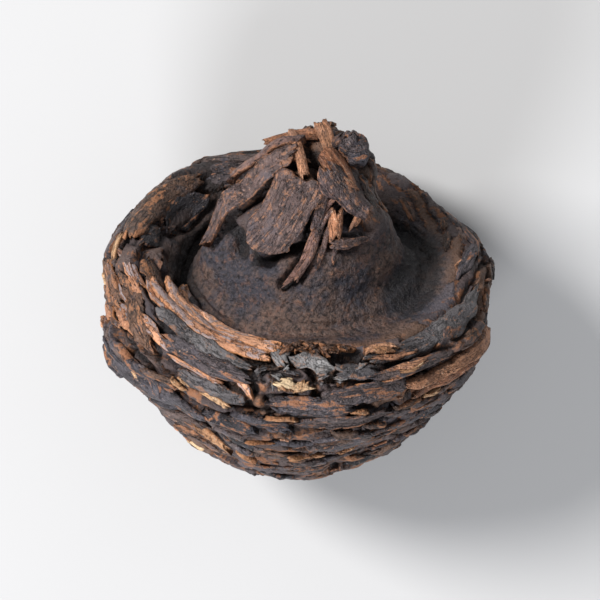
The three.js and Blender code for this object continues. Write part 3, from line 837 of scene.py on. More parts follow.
# The relief of the pressed leaves at points of the core, in millimetres, and the values that their material reads.
def pressedRelief(flat, shares):
    k = mosaic
    shape = flat.shape[:-1]
    flat, shares = flat.reshape(-1, 3), shares.ravel()
    warp = np.stack([roughNoise(flat, k["warpPitch"], 2, seed) for seed in (21, 22, 23)], -1) * k["warp"]
    warp += np.stack([noise(flat, k["frayPitch"], seed) for seed in (24, 25, 26)], -1) * k["fray"]
    field = leafField(flat + warp, seeds)
    leaf = field["leaf"].astype(int)
    depth = np.interp(shares, k["share"], k["depth"])
    inside = 1 - np.exp(-np.maximum(field["edge"], 0) / k["pillow"])
    open_ = smoothstep(noise(flat, k["crackPitch"], 41), -0.1, 0.35)
    # The cracks between leaves, sunk into the relief; the same mask later paints shade into them.
    crack = np.exp(-(field["edge"] / k["crackWidth"]) ** 2) * (0.2 + 0.8 * open_)
    slope = k["tilt"] * seeds["tilt"][leaf] + k["shingle"]
    lift = k["height"] * seeds["height"][leaf] + slope * field["across"]
    crack = crack * smoothstep(depth, 0.3, 0.85)
    relief = depth * smoothstep(depth, 0.15, 0.6) * (lift + (inside - 0.6) * k["pillow"] * 0.5 - k["crack"] * crack)
    strands = np.stack([field["along"] * 0.13, field["across"] * 1.0, leaf * 3.0], -1)
    creases, finer = lines(strands, 1.0, 31, 2.2), lines(strands * (2.0, 2.4, 1), 1.0, 32, 2.2)
    relief -= (creases ** 3 * k["creases"][0] + finer ** 3 * k["creases"][1]) * (0.15 + 0.85 * depth)
    relief += roughNoise(flat, 1.8, 3, 5) * core["wrinkle"] * (0.35 + 0.65 * depth)
    relief += noise(flat, 0.45, 9) * core["grit"]
    relief -= lines(flat + warp * 1.5, 1.5, 33, 2.5) ** 2 * k["wrinkles"] * (1 - depth)
    relief += roughNoise(flat + warp, 0.8, 2, 35) * k["grain"] * (1 - depth)
    dent = dentDepth(flat) + grooveDepth(flat)
    relief -= dent
    # Painted shade: the dents and the grooves round placed leaves are darkened along with the cracks.
    crack = np.maximum(crack * depth, np.clip(dent * 1.3 - 0.2, 0, 1))
    fibre = np.stack([field["along"], field["across"], leaf * 1.7], -1)
    values = {"tone": seeds["tone"][leaf], "edge": np.exp(-np.maximum(field["edge"], 0) / k["edgeWidth"]),
              "depth": depth, "crack": crack}
    values = {title: value.reshape(shape) for title, value in values.items()}
    return relief.reshape(shape), values, fibre.reshape(*shape, 3)


# One closed zone of the core: its own stretch of the surface, and a lid inside the lump.
def coreZone(name, first, last, along, around):
    share = np.linspace(first, last, along)
    shares, angles, flat, outward, _ = surfaceGrid(share, fullTurn(around))
    relief, values, fibre = pressedRelief(flat, shares)
    # Painted shade: the hollow and its far wall are darkened through the same value as the cracks.
    for around_, along_, strength in (core["hollowShade"], core["wallShade"]):
        shade = np.interp(np.degrees(angles), *around_) * np.interp(shares, *along_) * strength
        values["crack"] = np.maximum(values["crack"], shade)
    isCap = first == 0
    fade = smoothstep(np.hypot(flat[..., 0], flat[..., 1]), 0, core["poleFade"]) if isCap else np.ones_like(shares)
    points = flat + outward * (relief * fade)[..., None]
    ring, pole = points[[-1, 0] if isCap else [0, -1]]
    kept = slice(1, None) if isCap else slice(None, -1)
    inner = ring * (core["lidNarrowing"], core["lidNarrowing"], 0) + (0, 0, core["lidHeight"])
    stack = np.concatenate([points[kept].reshape(-1, 3), inner, [[0, 0, core["lidHeight"] - 0.5]], pole[:1]])
    rows = along - 1
    count = rows * around
    faces = gridFaces(rows, around, True)
    middle, poleAt = count + around, count + around + 1
    openRow, poleRow = (count - around, 0) if isCap else (0, count - around)
    for i in range(around):
        j = (i + 1) % around
        a, b = openRow + i, openRow + j
        faces.append([a, b, count + j, count + i] if isCap else [b, a, count + i, count + j])
        faces.append([count + i, count + j, middle] if isCap else [count + j, count + i, middle])
        faces.append([poleRow + j, poleRow + i, poleAt] if isCap else [poleRow + i, poleRow + j, poleAt])

    def padded(array):
        return np.concatenate([array[kept].reshape(count, *array.shape[2:]), np.zeros((around + 2, *array.shape[2:]))])

    piece = meshObject(name, onFloor(lying(stack)), faces, {title: padded(value) for title, value in values.items()},
                       {"fibre": padded(fibre)})
    ends = np.empty(len(piece.data.edges) * 2, int)
    piece.data.edges.foreach_get("vertices", ends)
    ends = ends.reshape(-1, 2)
    onRing = ((ends >= openRow) & (ends < openRow + around)).all(1) | (ends >= count).any(1) & (ends < poleAt).all(1)
    store(piece.data, "sharp_edge", onRing, "BOOLEAN", "EDGE")
    return piece


# The core's own finish: leaf tones, the hollow and stem's base smooth and near black, and painted shade that darkens
# the cracks, the dents, the grooves round placed leaves and the hollow.
def coreMaterial():
    material, maker = newMaterial("pressed_leaf_core")
    black = tint["black"]
    place = objectPlace(maker)
    tone, edge, depth, crack = (maker.attribute(title) for title in ("tone", "edge", "depth", "crack"))
    fibre = fibreNoise(maker, 0.5, 1.9, 2.0)
    stripe = fibreNoise(maker, 0.25, 1.1, 7.0, 0.6, 0.3)
    broad = noiseFrom(maker, place, 5.0, 3.0, 0.6, 4.0)
    blotch = noiseFrom(maker, place, 2.2, 3.0, 0.6)
    rust = noiseFrom(maker, place, 1.5, 4.0, 0.72, 12.0)
    mottle = noiseFrom(maker, place, 0.9, 4.0, 0.66, 3.0)
    grit = noiseFrom(maker, place, 0.5, 4.0, 0.8, 6.0)
    crumb = noiseFrom(maker, place, 0.3, 3.0, 0.65, 9.0)
    # the leaves of the cap and the stem's head
    stops = [(0.0, tint["slate"]), (0.3, tint["plum"]), (0.55, (0.070, 0.062, 0.074)), (0.8, tint["brown"]),
             (1.0, (0.14, 0.075, 0.048))]
    warm = stripe * maker.range(depth, 0.3, 0.8) + mottle * 0.7 - blotch * 0.5
    torn = edge + (mottle - 0.5) * 1.3 + (crumb - 0.5) * 0.7
    leaf = maker.layered(maker.node("ShaderNodeValToRGB", {"stops": stops}, {0: tone}), [
        (tint["brown"], broad, 0.42, 0.65, 0.5),
        ((0.12, 0.10, 0.105), fibre * 0.5 + crumb * 0.5, 0.56, 0.68, maker.range(depth, 0.2, 0.8, 0.2, 0.6)),
        ((0.26, 0.11, 0.05), warm, 0.66, 0.78, maker.range(depth, 0.2, 0.8, 0.25, 0.8)),
        ((0.28, 0.12, 0.055), torn, 0.72, 0.95, maker.range(depth, 0.3, 0.9) * 0.7),
    ])
    # the hollow and the stem's base
    side = maker.range(broad + mottle * 0.3, 0.56, 0.76)
    smooth = maker.layered(maker.mix(side, (0.038, 0.036, 0.047), (0.105, 0.066, 0.053)), [
        ((0.125, 0.078, 0.062), mottle, 0.50, 0.66, 0.5),
        ((0.160, 0.082, 0.058), rust, 0.53, 0.64, 0.6),
        ((0.16, 0.12, 0.11), crumb, 0.55, 0.68, 0.45),
        ((0.24, 0.11, 0.06), crumb * 0.5 + mottle * 0.5, 0.58, 0.65, side),
        (black, grit, 0.52, 0.40, 0.75),
    ])
    colour = maker.layered(leaf, [
        # Painted shade: the cracks, dents, grooves and hollow turn near black.
        (smooth, depth, 0.75, 0.3), (black, crack, 0.25, 0.8, 0.85), (black, crumb, 0.46, 0.34, 0.65),
    ])
    roughness = maker.range(mottle + crumb * 0.5, 0.5, 0.95, 0.34, 0.62)
    height = fibre * maker.range(depth, 0.3, 0.8, 0.0, 0.5) + mottle * 0.8 + crumb * 0.6 + grit * 0.6
    finishMaterial(maker, colour, roughness, height)
    return material


coreFinish = coreMaterial()
pieces = []
for name, (first, last, along, around) in core["zones"].items():
    piece = coreZone(name, first, last, along, around)
    piece.data.materials.append(coreFinish)
    pieces.append(piece)
    print(name, len(piece.data.polygons), "faces")


# Shapes of one leaf strip: a flat grid from -1 to 1 both ways, whose edge rows lie below the rest.
strip = {"rows": (-1, -0.86, -0.42, 0.05, 0.46, 0.87, 1), "rise": (-0.8, 0.55, 1, 1, 1, 0.55, -0.8),
         "columns": 10, "variants": 8, "seed": 7}


# Puts a few different strips in a collection, each with its own outline and ragged ends.
def stripVariants(collection):
    draws = np.random.default_rng(strip["seed"])
    rows, columns = np.array(strip["rows"]), strip["columns"]
    wide, s = len(rows), np.linspace(-1, 1, columns)
    for index in range(strip["variants"]):
        power = draws.uniform(2.2, 5)
        half = (1 - np.abs(s) ** power * draws.uniform(0.55, 0.9)) * (1 + draws.uniform(-0.2, 0.2, columns))
        middle = draws.uniform(-0.25, 0.25) * (1 - s ** 2) * 1.2 + draws.uniform(-0.08, 0.08, columns)
        ragged = draws.uniform(-0.07, 0.07, (columns, wide))
        ragged[[0, -1]] += draws.uniform(-0.12, 0.12, (2, wide))
        along = s[:, None] + ragged
        across = middle[:, None] + half[:, None] * rows[None]
        rise = np.tile(strip["rise"], (columns, 1))
        rise = rise + draws.uniform(-0.22, 0.22, rise.shape) * (rise > 0)
        rise[[0, -1]] = strip["rise"][0]
        faces = gridFaces(columns, wide)
        faces += [[i * wide, (i + 1) * wide, (i + 2) * wide - 1, (i + 1) * wide - 1] for i in range(columns - 1)]
        faces += [[*range(wide)], [(columns - 1) * wide + i for i in reversed(range(wide))]]
        edge = np.maximum(np.abs(rows)[None] ** 3, (np.abs(s) ** 5)[:, None])
        piece = meshObject(f"strip_shape_{index}", together(along, across, 0.0), faces,
                           {"rise": rise, "edge": edge, "run": along, "side": across})
        bpy.context.collection.objects.unlink(piece)
        collection.objects.link(piece)


# Where strips may lie: along the section, and which sectors, in degrees, are kept for the leaves of the photo.
guideRoom = {
    "shares": (0.02, 0.985, 110), "around": 170, "stations": 12, "overFloor": (0.0006, 0.003), "besideLeaf": 1.2,
    "cap": ([0, 0.03, 0.50, 0.56, 0.585], [0.5, 1, 1, 0.8, 0]), "capFront": (185, 200, 318, 335),
    "stem": ([0.80, 0.84, 0.90, 0.93], [0, 1, 1, 0]), "stemFront": (185, 200, 318, 330),
    "rim": ([0.50, 0.53, 0.575, 0.59], [0, 1, 1, 0]), "rimFront": (186, 194, 262, 270),
}


# The smooth core, with the way out, the way of the leaves, and how much room each kind of strip has.
def guideMesh():
    k = guideRoom
    share = np.linspace(*k["shares"])
    angle = fullTurn(k["around"])
    shares, angles, flat, outward, around = surfaceGrid(share, angle)
    way = grainAt(shares, outward, around)
    floorRoom = smoothstep(lying(flat)[..., 2], *k["overFloor"])
    degrees = np.degrees(angles) % 360

    def sector(start, startFull, endFull, end):
        return smoothstep(degrees, start, startFull) * (1 - smoothstep(degrees, endFull, end))

    cap = np.interp(shares, *k["cap"]) * floorRoom
    stem = np.interp(shares, *k["stem"]) * (1 - sector(*k["stemFront"]))
    rim = np.interp(shares, *k["rim"]) * (1 - sector(*k["rimFront"]))
    free = np.ones(shares.shape)
    for leaf in allLeaves():
        path = leafPath(leaf, k["stations"])
        far = np.linalg.norm(flat[:, :, None] - surfacePoint(path[:, 1], path[:, 0]), axis=-1).min(-1)
        reach = np.max(leaf["width"]) / 2
        free *= smoothstep(far, reach, reach + k["besideLeaf"])
    farRim = np.exp(-((degrees - 95) / 40) ** 2) * smoothstep(shares, 0.47, 0.52)
    cap, rim, stem = cap * free * (1 - 0.8 * farRim), rim * free * (1 - farRim), stem * free
    front = sector(*k["capFront"])
    calm = 0.4 + 0.6 * front * smoothstep(shares, 0.3, 0.42)
    cap = cap * (0.6 + 0.4 * front * smoothstep(shares, 0.26, 0.34))
    ways = {"outward": outward, "grainWay": way}
    return meshObject("strip_guide", lying(flat), gridFaces(len(share), len(angle), True),
                      {"capRoom": cap, "stemRoom": stem, "rimRoom": rim, "calm": calm},
                      {title: unit(lying(vector) - lying(np.zeros(3))) for title, vector in ways.items()})


# Kinds of strips: where they lie and their look, then sizes in millimetres, the sprawl in radians and the seed.
inMillimetres = ("Spacing", "Length", "Width", "Thickness", "Lift", "Shingle")


def stripKind(room, finish, *sizes):
    return {"Room": room, "Finish": finish, **dict(zip((*inMillimetres, "Sprawl", "Seed"), sizes))}


stripKinds = {
    # spacing, length, width, thickness, lift, shingle, sprawl, seed
    "cap_strips": stripKind("capRoom", "dark", 4.6, 9.5, 1.9, 0.38, 0.16, 0.24, 0.16, 3),
    "cap_flakes": stripKind("capRoom", "dark", 2.7, 4.8, 1.15, 0.3, 0.3, 0.3, 0.3, 4),
    "cap_flakes_brown": stripKind("capRoom", "brown", 2.9, 3.8, 0.9, 0.26, 0.35, 0.3, 0.32, 5),
    "cap_crumbs": stripKind("capRoom", "tan", 2.5, 1.3, 0.36, 0.18, 0.3, 0.1, 0.5, 6),
    "rim_strips": stripKind("rimRoom", "dark", 5.0, 10, 3.0, 0.4, 0.1, 0.16, 0.1, 8),
    "stem_strips": stripKind("stemRoom", "brown", 2.6, 4.8, 1.5, 0.3, 0.15, 0.22, 0.25, 11),
    "pale_slivers": stripKind("capRoom", "pale", 10.0, 2.2, 0.45, 0.25, 0.7, 0.0, 0.5, 13),
}


# Lays leaf strips over the guide, each along the grain and bent to the surface.
def stripTree():
    tree = bpy.data.node_groups.new("laid_strips", "GeometryNodeTree")
    maker = NodeMaker(tree)
    wanted = {"Geometry": "Geometry", "Shapes": "Collection", "Finish": "Material", "Room": "String",
              **dict.fromkeys((*inMillimetres, "Sprawl"), "Float"), "Seed": "Int"}
    inputs = {title: tree.interface.new_socket(title, in_out="INPUT", socket_type="NodeSocket" + kind).identifier
              for title, kind in wanted.items()}
    tree.interface.new_socket("Geometry", in_out="OUTPUT", socket_type="NodeSocketGeometry")
    entry = tree.nodes.new("NodeGroupInput")
    asked = {title: Socket(maker, entry.outputs[title]) for title in wanted}

    def named(title, kind="FLOAT"):
        return maker.node("GeometryNodeInputNamedAttribute", {"data_type": kind}, {"Name": title})

    def drawn(low, high, shift):
        return maker.node("FunctionNodeRandomValue", {"data_type": "FLOAT"},
                          {2: low, 3: high, "Seed": asked["Seed"] * 10 + shift}, 1)

    points = maker.node("GeometryNodeDistributePointsOnFaces", {"distribute_method": "POISSON"}, {
        "Mesh": asked["Geometry"], "Distance Min": asked["Spacing"], "Density Max": 2e6,
        "Density Factor": named(asked["Room"]), "Seed": asked["Seed"]})
    calm = named("calm")
    drawnValues = {
        "tone": drawn(0.0, 1.0, 1),
        "liftUp": drawn(0.0, asked["Lift"], 2) * calm,
        "tiltUp": drawn(asked["Shingle"] * -0.3, asked["Shingle"] * 1.3, 3) * calm,
        "curlUp": drawn(-0.5, 0.2, 4),
        "thick": asked["Thickness"] * drawn(0.7, 1.3, 5) * (calm * 0.5 + 0.5),
        "long": asked["Length"] * drawn(0.55, 1.35, 6),
        "wide": asked["Width"] * drawn(0.7, 1.35, 7),
    }
    for title, value in drawnValues.items():
        points = maker.node("GeometryNodeStoreNamedAttribute", {"data_type": "FLOAT", "domain": "POINT"},
                            {"Geometry": points, "Name": title, "Value": value})
    wayOut = named("outward", "FLOAT_VECTOR")
    upright = maker.node("FunctionNodeAlignRotationToVector", {"axis": "Z"}, {"Vector": wayOut})
    headed = maker.node("FunctionNodeAlignRotationToVector", {"axis": "X", "pivot_axis": "Z"},
                        {"Rotation": upright, "Vector": named("grainWay", "FLOAT_VECTOR")})
    swing = maker.node("FunctionNodeAxisAngleToRotation", {},
                       {"Axis": (0, 0, 1), "Angle": asked["Sprawl"] * drawn(-1.0, 1.0, 8)})
    headed = maker.node("FunctionNodeRotateRotation", {"rotation_space": "LOCAL"},
                        {"Rotation": headed, "Rotate By": swing})
    shapes = maker.node("GeometryNodeCollectionInfo", {"transform_space": "ORIGINAL"}, {
        "Collection": asked["Shapes"], "Separate Children": True, "Reset Children": True})
    size = maker.node("ShaderNodeCombineXYZ", {}, {"X": named("long") * 0.5, "Y": named("wide") * 0.5, "Z": 1.0})
    pick = maker.node("FunctionNodeRandomValue", {"data_type": "INT"},
                      {4: 0, 5: strip["variants"] - 1, "Seed": asked["Seed"] * 10 + 9}, 2)
    laid = maker.node("GeometryNodeInstanceOnPoints", {}, {
        "Points": points, "Instance": shapes, "Pick Instance": True, "Instance Index": pick, "Rotation": headed,
        "Scale": size})
    laid = maker.node("GeometryNodeRealizeInstances", {}, {"Geometry": laid})
    base = maker.node("GeometryNodeProximity", {"target_element": "FACES"}, {"Geometry": asked["Geometry"]})
    outward = maker.node("GeometryNodeSampleNearestSurface", {"data_type": "FLOAT_VECTOR"},
                         {"Mesh": asked["Geometry"], "Value": wayOut})
    run, thick = named("run"), named("thick")
    height = named("rise") * thick + named("liftUp") + named("side") * named("tiltUp")
    height = height + run * run * named("curlUp") * thick * 0.8
    raised = maker.vector("SCALE", outward, height)
    laid = maker.node("GeometryNodeSetPosition", {}, {"Geometry": laid, "Position": maker.vector("ADD", base, raised)})
    laid = maker.node("GeometryNodeSetMaterial", {}, {"Geometry": laid, "Material": asked["Finish"]})
    out = tree.nodes.new("NodeGroupOutput")
    maker.feed(out.inputs["Geometry"], laid)
    return tree, inputs


# Turns every closed bit of a mesh the right way out.
def faceOutwards(mesh):
    edit = bmesh.new()
    edit.from_mesh(mesh)
    bmesh.ops.recalc_face_normals(edit, faces=edit.faces)
    seen, turned = set(), []
    for first in edit.faces:
        if first.index in seen:
            continue
        seen.add(first.index)
        bit, middle, volume = [first], first.verts[0].co, 0.0
        for face in bit:
            corners = [vertex.co - middle for vertex in face.verts]
            volume += sum(corners[0].dot(corners[i].cross(corners[i + 1])) for i in range(1, len(corners) - 1))
            for edge in face.edges:
                for beside in edge.link_faces:
                    if beside.index not in seen:
                        seen.add(beside.index)
                        bit.append(beside)
        if volume < 0:
            turned += bit
    bmesh.ops.reverse_faces(edit, faces=turned)
    edit.to_mesh(mesh)
    edit.free()


settle = {"roughness": 0.12, "pitch": 1.1, "overFloor": 0.02}  # in millimetres


# Roughens a finished mesh a little, keeps it above the floor, and gives its material the way of the fibres.
def settleMesh(mesh, seed, length, width):
    faceOutwards(mesh)
    count = len(mesh.vertices)
    points = np.empty(count * 3)
    mesh.vertices.foreach_get("co", points)
    points = points.reshape(-1, 3) / mm
    bumps = np.stack([roughNoise(points, settle["pitch"], 2, seed + k) for k in range(3)], -1)
    points = points + bumps * settle["roughness"]
    points[:, 2] = np.maximum(points[:, 2], settle["overFloor"])
    mesh.vertices.foreach_set("co", (points * mm).ravel())
    run, side, tone = np.empty((3, count))
    for title, target in (("run", run), ("side", side), ("tone", tone)):
        mesh.attributes[title].data.foreach_get("value", target)
    store(mesh, "fibre", np.stack([run * length / 2, side * width / 2, tone * 90], -1), "FLOAT_VECTOR")
    shadeSmooth(mesh)
    mesh.update()


# Runs the tree once for each kind of strip, and makes each result a plain mesh.
def layStrips():
    shapes = bpy.data.collections.new("strip_shapes")
    bpy.context.scene.collection.children.link(shapes)
    stripVariants(shapes)
    guide = guideMesh()
    tree, inputs = stripTree()
    made = []
    for name, kind in stripKinds.items():
        modifier = guide.modifiers.new("strips", "NODES")
        modifier.node_group = tree
        modifier[inputs["Shapes"]] = shapes
        for title, value in kind.items():
            value = materials[value] if title == "Finish" else value * mm if title in inMillimetres else value
            modifier[inputs[title]] = value
        guide.update_tag()
        bpy.context.view_layer.update()
        graph = bpy.context.evaluated_depsgraph_get()
        ready = guide.evaluated_get(graph)
        mesh = bpy.data.meshes.new_from_object(ready, preserve_all_data_layers=True, depsgraph=graph)
        guide.modifiers.remove(modifier)
        mesh.name = name
        settleMesh(mesh, kind["Seed"], kind["Length"], kind["Width"])
        made.append(placed(name, mesh))
        print(name, len(mesh.polygons), "faces")
    for piece in [*shapes.objects, guide]:
        bpy.data.objects.remove(piece)
    bpy.data.collections.remove(shapes)
    return made


# Faces of a thin closed slab: a grid, the same grid under it, and the walls round them.
def gridWrap(rows, columns):
    first = gridFaces(rows, columns)
    under = [[corner + rows * columns for corner in reversed(face)] for face in first]
    rim = [*range(columns)] + [i * columns + columns - 1 for i in range(1, rows)]
    rim += [(rows - 1) * columns + i for i in reversed(range(columns - 1))]
    rim += [i * columns for i in reversed(range(1, rows - 1))]
    walls = [[a, a + rows * columns, b + rows * columns, b] for a, b in zip(rim, rim[1:] + rim[:1])]
    return first + under + walls


# What a leaf is like where its row says nothing: fraying, ends, keel, and the size of its faces in millimetres.
usualLeaf = {
    "ragged": 0.26, "taper": 0.25, "tip": 0.45, "endTear": 0.7, "slant": 0.0, "point": 0.0, "keel": 0.3, "wave": 0.2,
    "edgeUp": (0, 0), "endUp": (0, 0), "step": 0.3, "rows": (7, 70), "columns": (5, 26), "thinEdge": 0.55,
}


# One leaf laid on the lump along a path of directions and shares, as a thin closed slab.
def leafOnLump(spec, seed):
    spec = {**usualLeaf, **spec}
    coarse = leafPath(spec, 40)
    run = surfacePoint(coarse[:, 1], coarse[:, 0])
    length = np.linalg.norm(np.diff(run, axis=0), axis=1).sum()
    rows = int(np.clip(length / spec["step"], *spec["rows"]))
    half = halfWidths(spec, rows)
    columns = int(np.clip(half.max() * 2 / spec["step"], *spec["columns"])) | 1
    angle, share = leafPath(spec, rows).T
    _, _, flat, outward, around = (np.stack([part[i, i] for i in range(rows)]) for part in surfaceGrid(share, angle))
    around = unit(around)
    up = np.cross(outward, around)
    tangent = unit(np.gradient(flat, axis=0))
    side = np.cross(outward, tangent)
    s = np.linspace(0, length, rows)
    v = np.linspace(-1, 1, columns)
    sides = [together(s, end * 5, seed) for end in (0, 1)]
    frayed = [noise(place, 1.5, 61) + 0.5 * noise(place, 0.5, 62) for place in sides]
    ends = np.minimum(np.arange(rows), np.arange(rows)[::-1]) / (rows - 1) * 2
    taper = lerp(spec["tip"], 1, np.clip(ends / spec["taper"], 0, 1) ** 0.5)
    left, right = ((half * (1 + spec["ragged"] * fray))[:, None] for fray in frayed)
    t = np.where(v[None] < 0, left, right) * v[None] * taper[:, None]
    torn = noise(together(v * 3, seed, 0), 1.0, 63)[None] * spec["endTear"]
    endness = (np.arange(rows) / (rows - 1) * 2 - 1)[:, None]
    lower = np.clip(endness, 0, 1)
    slide = torn * endness ** 3 + spec["slant"] * v[None] * lower + spec["point"] * (1 - v[None] ** 2) * lower ** 2
    away = side[:, None] * t[..., None] + tangent[:, None] * slide[..., None]
    radius = np.maximum(np.hypot(flat[:, 0] - lump["stemLean"] * (share > 0.7), flat[:, 1]), 1.8)[:, None]
    shares = np.clip(share[:, None] + np.sum(away * up[:, None], -1) / averageRun[-1], 0, 1)
    angles = angle[:, None] + np.sum(away * around[:, None], -1) / radius
    edges = np.abs(v)[None] ** 2
    low, high, first, last = *spec["edgeUp"], *spec["endUp"]
    grid = together(s[:, None], t, float(seed * 7))
    base = surfacePoint(shares, angles)
    lift = spec["lift"] + np.where(v[None] < 0, low, high) * edges + np.where(endness < 0, first, last) * endness ** 2
    lift = lift + noise(grid, 2.2, 64) * spec["wave"]
    streaks = noise(grid * (0.22, 2.2, 1), 1.0, 65) * 0.09 + noise(base, 0.5, 66) * 0.05
    rounded = spec["thick"] * (1 - spec["thinEdge"] * edges ** 3)
    top = surfacePoint(shares, angles, lift + rounded / 2 + streaks)
    bottom = surfacePoint(shares, angles, lift - rounded / 2 - spec["keel"] * (1 - edges))
    edge = np.maximum(edges ** 2, np.abs(endness) ** 12) * np.ones_like(t)
    tone = spec["tone"] + noise(grid, 3.0, 67) * 0.15
    points = np.concatenate([top.reshape(-1, 3), bottom.reshape(-1, 3)])
    return {"points": points, "faces": gridWrap(rows, columns), "tone": np.tile(tone.ravel(), 2),
            "edge": np.concatenate([edge.ravel(), np.ones(edge.size)]), "fibre": np.tile(grid.reshape(-1, 3), (2, 1))}


# What a stalk is like where its row says nothing.
usualStalk = {"around": 18, "step": 0.22, "side": (1, 0, 0), "split": 0, "flatten": 1.0, "tear": 0.5, "groove": 0.16}


# A dry stalk along a path in the lump's own frame: grooved, uneven, with torn ends.
def stalk(spec, seed):
    spec = {**usualStalk, **spec}
    around = spec["around"]
    rough = smoothRun(spec["path"], 30)
    length = np.linalg.norm(np.diff(rough, axis=0), axis=1).sum()
    rows = max(6, int(length / spec["step"]))
    centres = smoothRun(spec["path"], rows)
    radii = smoothRun([(r,) for r in spec["radius"]], rows)[:, 0]
    tangent = unit(np.gradient(centres, axis=0))
    side = np.array(spec["side"], float)
    sides = []
    for way in tangent:
        side = unit(side - way * np.dot(side, way))
        sides.append(side)
    sides = np.array(sides)
    second = np.cross(tangent, sides)
    turn = fullTurn(around)
    s = np.linspace(0, length, rows)[:, None]
    grooves = np.cos(turn * 5 + s * 0.5 + seed) * 0.07 + np.cos(turn * 9 - s * 0.3) * 0.05
    grooves = grooves + noise(together(np.cos(turn) * 2, np.sin(turn) * 2, s + seed * 9), 1.2, 71) * spec["groove"]
    split = spec["split"] * smoothstep(s, length * 0.45, length) * (np.clip(np.cos(turn), 0, 1) ** 3)[None]
    size = radii[:, None] * (1 + grooves - split)
    points = (centres[:, None] + sides[:, None] * (np.cos(turn)[None] * size * spec["flatten"])[..., None]
              + second[:, None] * (np.sin(turn)[None] * size)[..., None])
    tear = noise(together(np.cos(turn) * 2, np.sin(turn) * 2, seed), 1.0, 72) * spec["tear"]
    points[-1] += tangent[-1] * tear[:, None]
    points[0] -= tangent[0] * tear[::-1, None]
    ends = np.stack([centres[0] + tangent[0] * 0.2, centres[-1] - tangent[-1] * 0.3])
    fibre = together(s, turn[None] * radii.mean(), float(seed * 7)).reshape(-1, 3)
    edge = np.zeros((rows, around))
    edge[[0, -1]] = 1
    tone = spec["tone"] + np.clip(np.cos(turn * 2 + seed), -1, 1)[None] * 0.12 + s * 0
    return {"points": np.concatenate([points.reshape(-1, 3), ends]), "faces": tubeFaces(rows, around),
            "tone": np.concatenate([tone.ravel(), [0.1, 0.1]]), "edge": np.concatenate([edge.ravel(), [0.0, 0.0]]),
            "fibre": np.concatenate([fibre, fibre[:1], fibre[-1:]])}


# The dark curled knob beside the tuft: an egg shape wrapped in spiral folds.
def budShape(spec):
    rows, around = spec["rows"], spec["around"]
    climb = np.linspace(0.02, math.pi - 0.02, rows)[:, None]
    turn = fullTurn(around)[None]
    ball = together(np.sin(climb) * np.cos(turn), np.sin(climb) * np.sin(turn), np.cos(climb))
    folds = (1 - np.abs(np.sin(turn * 1.5 + climb * 1.9 + noise(ball, 0.7, 81) * 0.8))) ** 2 * spec["foldDepth"]
    mouth = np.exp(-np.sum((ball - unit(np.array(spec["mouth"]))) ** 2, -1) / 0.10)
    size = spec["radius"] * (1 - folds - spec["mouthDepth"] * mouth + roughNoise(ball, 0.6, 3, 82) * 0.2)
    points = ball * size[..., None] * np.array(spec["scale"])
    poles = np.stack([points[0].mean(0), points[-1].mean(0)])
    points = np.concatenate([points.reshape(-1, 3), poles]) + np.array(spec["at"])
    fibre = together(turn * 1.5, climb * 1.5, 3.0).reshape(-1, 3)
    edge = mouth * 0.9 + np.zeros((rows, around))
    tone = np.full((rows, around), spec["tone"]) + roughNoise(ball, 0.8, 2, 83) * 0.2
    return {"points": points, "faces": tubeFaces(rows, around), "tone": np.concatenate([tone.ravel(), [0.2, 0.2]]),
            "edge": np.concatenate([edge.ravel(), [0, 0]]), "fibre": np.concatenate([fibre, fibre[:2]])}


# Joins shapes of one look to one piece.
def joined(name, shapes, look):
    first, faces = 0, []
    for shape in shapes:
        faces += [[corner + first for corner in face] for face in shape["faces"]]
        first += len(shape["points"])
    points, tone, edge, fibre = (np.concatenate([shape[title] for shape in shapes])
                                 for title in ("points", "tone", "edge", "fibre"))
    piece = meshObject(name, onFloor(lying(points)), faces, {"tone": tone, "edge": edge}, {"fibre": fibre})
    faceOutwards(piece.data)
    piece.data.materials.append(materials[look])
    print(name, len(piece.data.polygons), "faces")
    return piece


# The stalks of the tuft, by the piece that they are joined to: points and radii in the lump's own frame.
tuft = {
    "pale_stalks": ("tan", [
        {"path": [(3.2, -2.8, 16.6), (2.9, -1.0, 17.8), (2.5, 0.3, 18.6), (2.1, 1.2, 19.2)],
         "radius": (0.4, 0.6, 0.8, 0.7), "tone": 0.75, "flatten": 1.15, "split": 0.6, "side": (0.3, -0.8, 0.5)},
        {"path": [(-0.8, 0.9, 18.0), (-0.4, -0.9, 18.4), (0.1, -2.6, 17.5), (0.5, -3.9, 16.3)],
         "radius": (0.6, 0.5, 0.5, 0.5), "tone": 0.7},
        {"path": [(1.8, 0.6, 18.1), (0.2, 0.7, 18.1), (-1.6, 0.7, 17.6), (-3.3, 0.8, 16.9)],
         "radius": (0.5, 0.6, 0.55, 0.6), "tone": 0.45},
        {"path": [(-1.8, -1.2, 17.4), (-0.8, -2.0, 17.3), (0.8, -2.5, 17.2)], "radius": (0.25, 0.3, 0.25), "tone": 0.6},
        {"path": [(2.4, -1.4, 17.4), (3.3, -2.4, 16.9), (4.4, -3.6, 15.7), (5.2, -4.6, 14.4)],
         "radius": (0.9, 1.1, 1.0, 0.7), "tone": 0.15},
    ]),
    "brown_stalks": ("rosy", [
        {"path": [(3.4, -0.9, 18.0), (3.8, -0.9, 18.5), (4.2, -0.6, 18.7)], "radius": (0.5, 0.55, 0.45), "tone": 0.4},
    ]),
}
bud = {"at": (5.2, -0.5, 17.1), "radius": 1.9, "scale": (0.95, 1.0, 1.1), "tone": 0.45, "mouth": (-0.75, 0.35, 0.65),
       "foldDepth": 0.24, "mouthDepth": 0.5, "rows": 46, "around": 60}


# The single leaves, the stalks and the knob.
def makeFeatures():
    made = []
    for title, (look, leaves) in leafGroups.items():
        shapes = [leafOnLump(leaf, number + 1) for number, leaf in enumerate(leaves)]
        made.append(joined(title, shapes, look))
    for title, (look, stalks) in tuft.items():
        made.append(joined(title, [stalk(spec, number + 1) for number, spec in enumerate(stalks)], look))
    made.append(joined("leaf_bud", [budShape(bud)], "dark"))
    return made


pieces += makeFeatures()
pieces += layStrips()

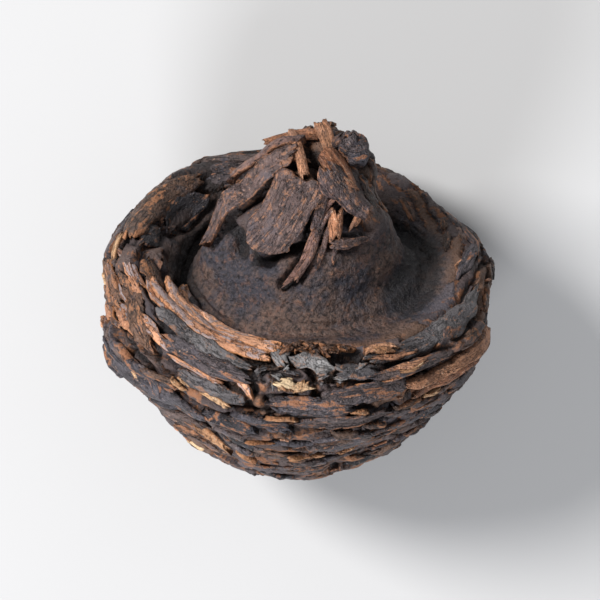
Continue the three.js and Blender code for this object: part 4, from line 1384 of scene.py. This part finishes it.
# Plain pale floor, soft studio light from the upper left, and the camera straight above.
studio = {
    "height": 0.6, "field": 0.061, "centre": (0.0, -0.0018), "sensor": 36, "focusLevel": 0.018,
    "floor": 0.9, "floorTints": ((0.41, 0.41, 0.415), (0.44, 0.44, 0.445)),
    "air": (0.95, 0.97, 1.0, 1), "airStrength": 0.4,
    # place, size, power and colour of each light
    "lights": {"window_light": ((-0.5, 0.25, 0.62), 0.26, 10.5, (1.0, 0.985, 0.965)),
               "fill_light": ((-0.24, -0.57, 0.36), 0.3, 5.6, (0.96, 0.975, 1.0))},
}


def studioLight(name, place, size, power, colour):
    light = bpy.data.lights.new(name, "AREA")
    light.shape, light.size, light.energy, light.color = "DISK", size, power, colour
    lamp = placed(name, light)
    lamp.location = place
    lamp.rotation_euler = (Vector((0, 0, 0.01)) - Vector(place)).to_track_quat("-Z", "Y").to_euler()


def makeStudio():
    half = studio["floor"]
    corners = [(-half, -half, 0), (half, -half, 0), (half, half, 0), (-half, half, 0)]
    floor = meshObject("floor", corners, [(0, 1, 2, 3)])
    material, maker = newMaterial("pale_floor")
    grey = noiseFrom(maker, objectPlace(maker), 60.0)
    colour = maker.mix(grey, *studio["floorTints"])
    shader = maker.node("ShaderNodeBsdfPrincipled", {}, {"Base Color": colour, "Roughness": 0.6})
    maker.node("ShaderNodeOutputMaterial", {}, {"Surface": shader})
    floor.data.materials.append(material)
    for name, settings in studio["lights"].items():
        studioLight(name, *settings)
    bpy.context.scene.view_settings.view_transform = "Standard"
    world = bpy.data.worlds.new("studio")
    world.use_nodes = True
    air = world.node_tree.nodes["Background"]
    air.inputs["Color"].default_value, air.inputs["Strength"].default_value = studio["air"], studio["airStrength"]
    bpy.context.scene.world = world
    camera = placed("camera", bpy.data.cameras.new("camera"))
    camera.location = (*studio["centre"], studio["height"])
    camera.data.sensor_width = studio["sensor"]
    camera.data.lens = studio["sensor"] * (studio["height"] - studio["focusLevel"]) / studio["field"]
    camera.data.clip_start = 0.01
    bpy.context.scene.camera = camera


makeStudio()
print("studio set")

for piece in pieces:
    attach(piece, "root")
    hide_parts("pressed_tea")
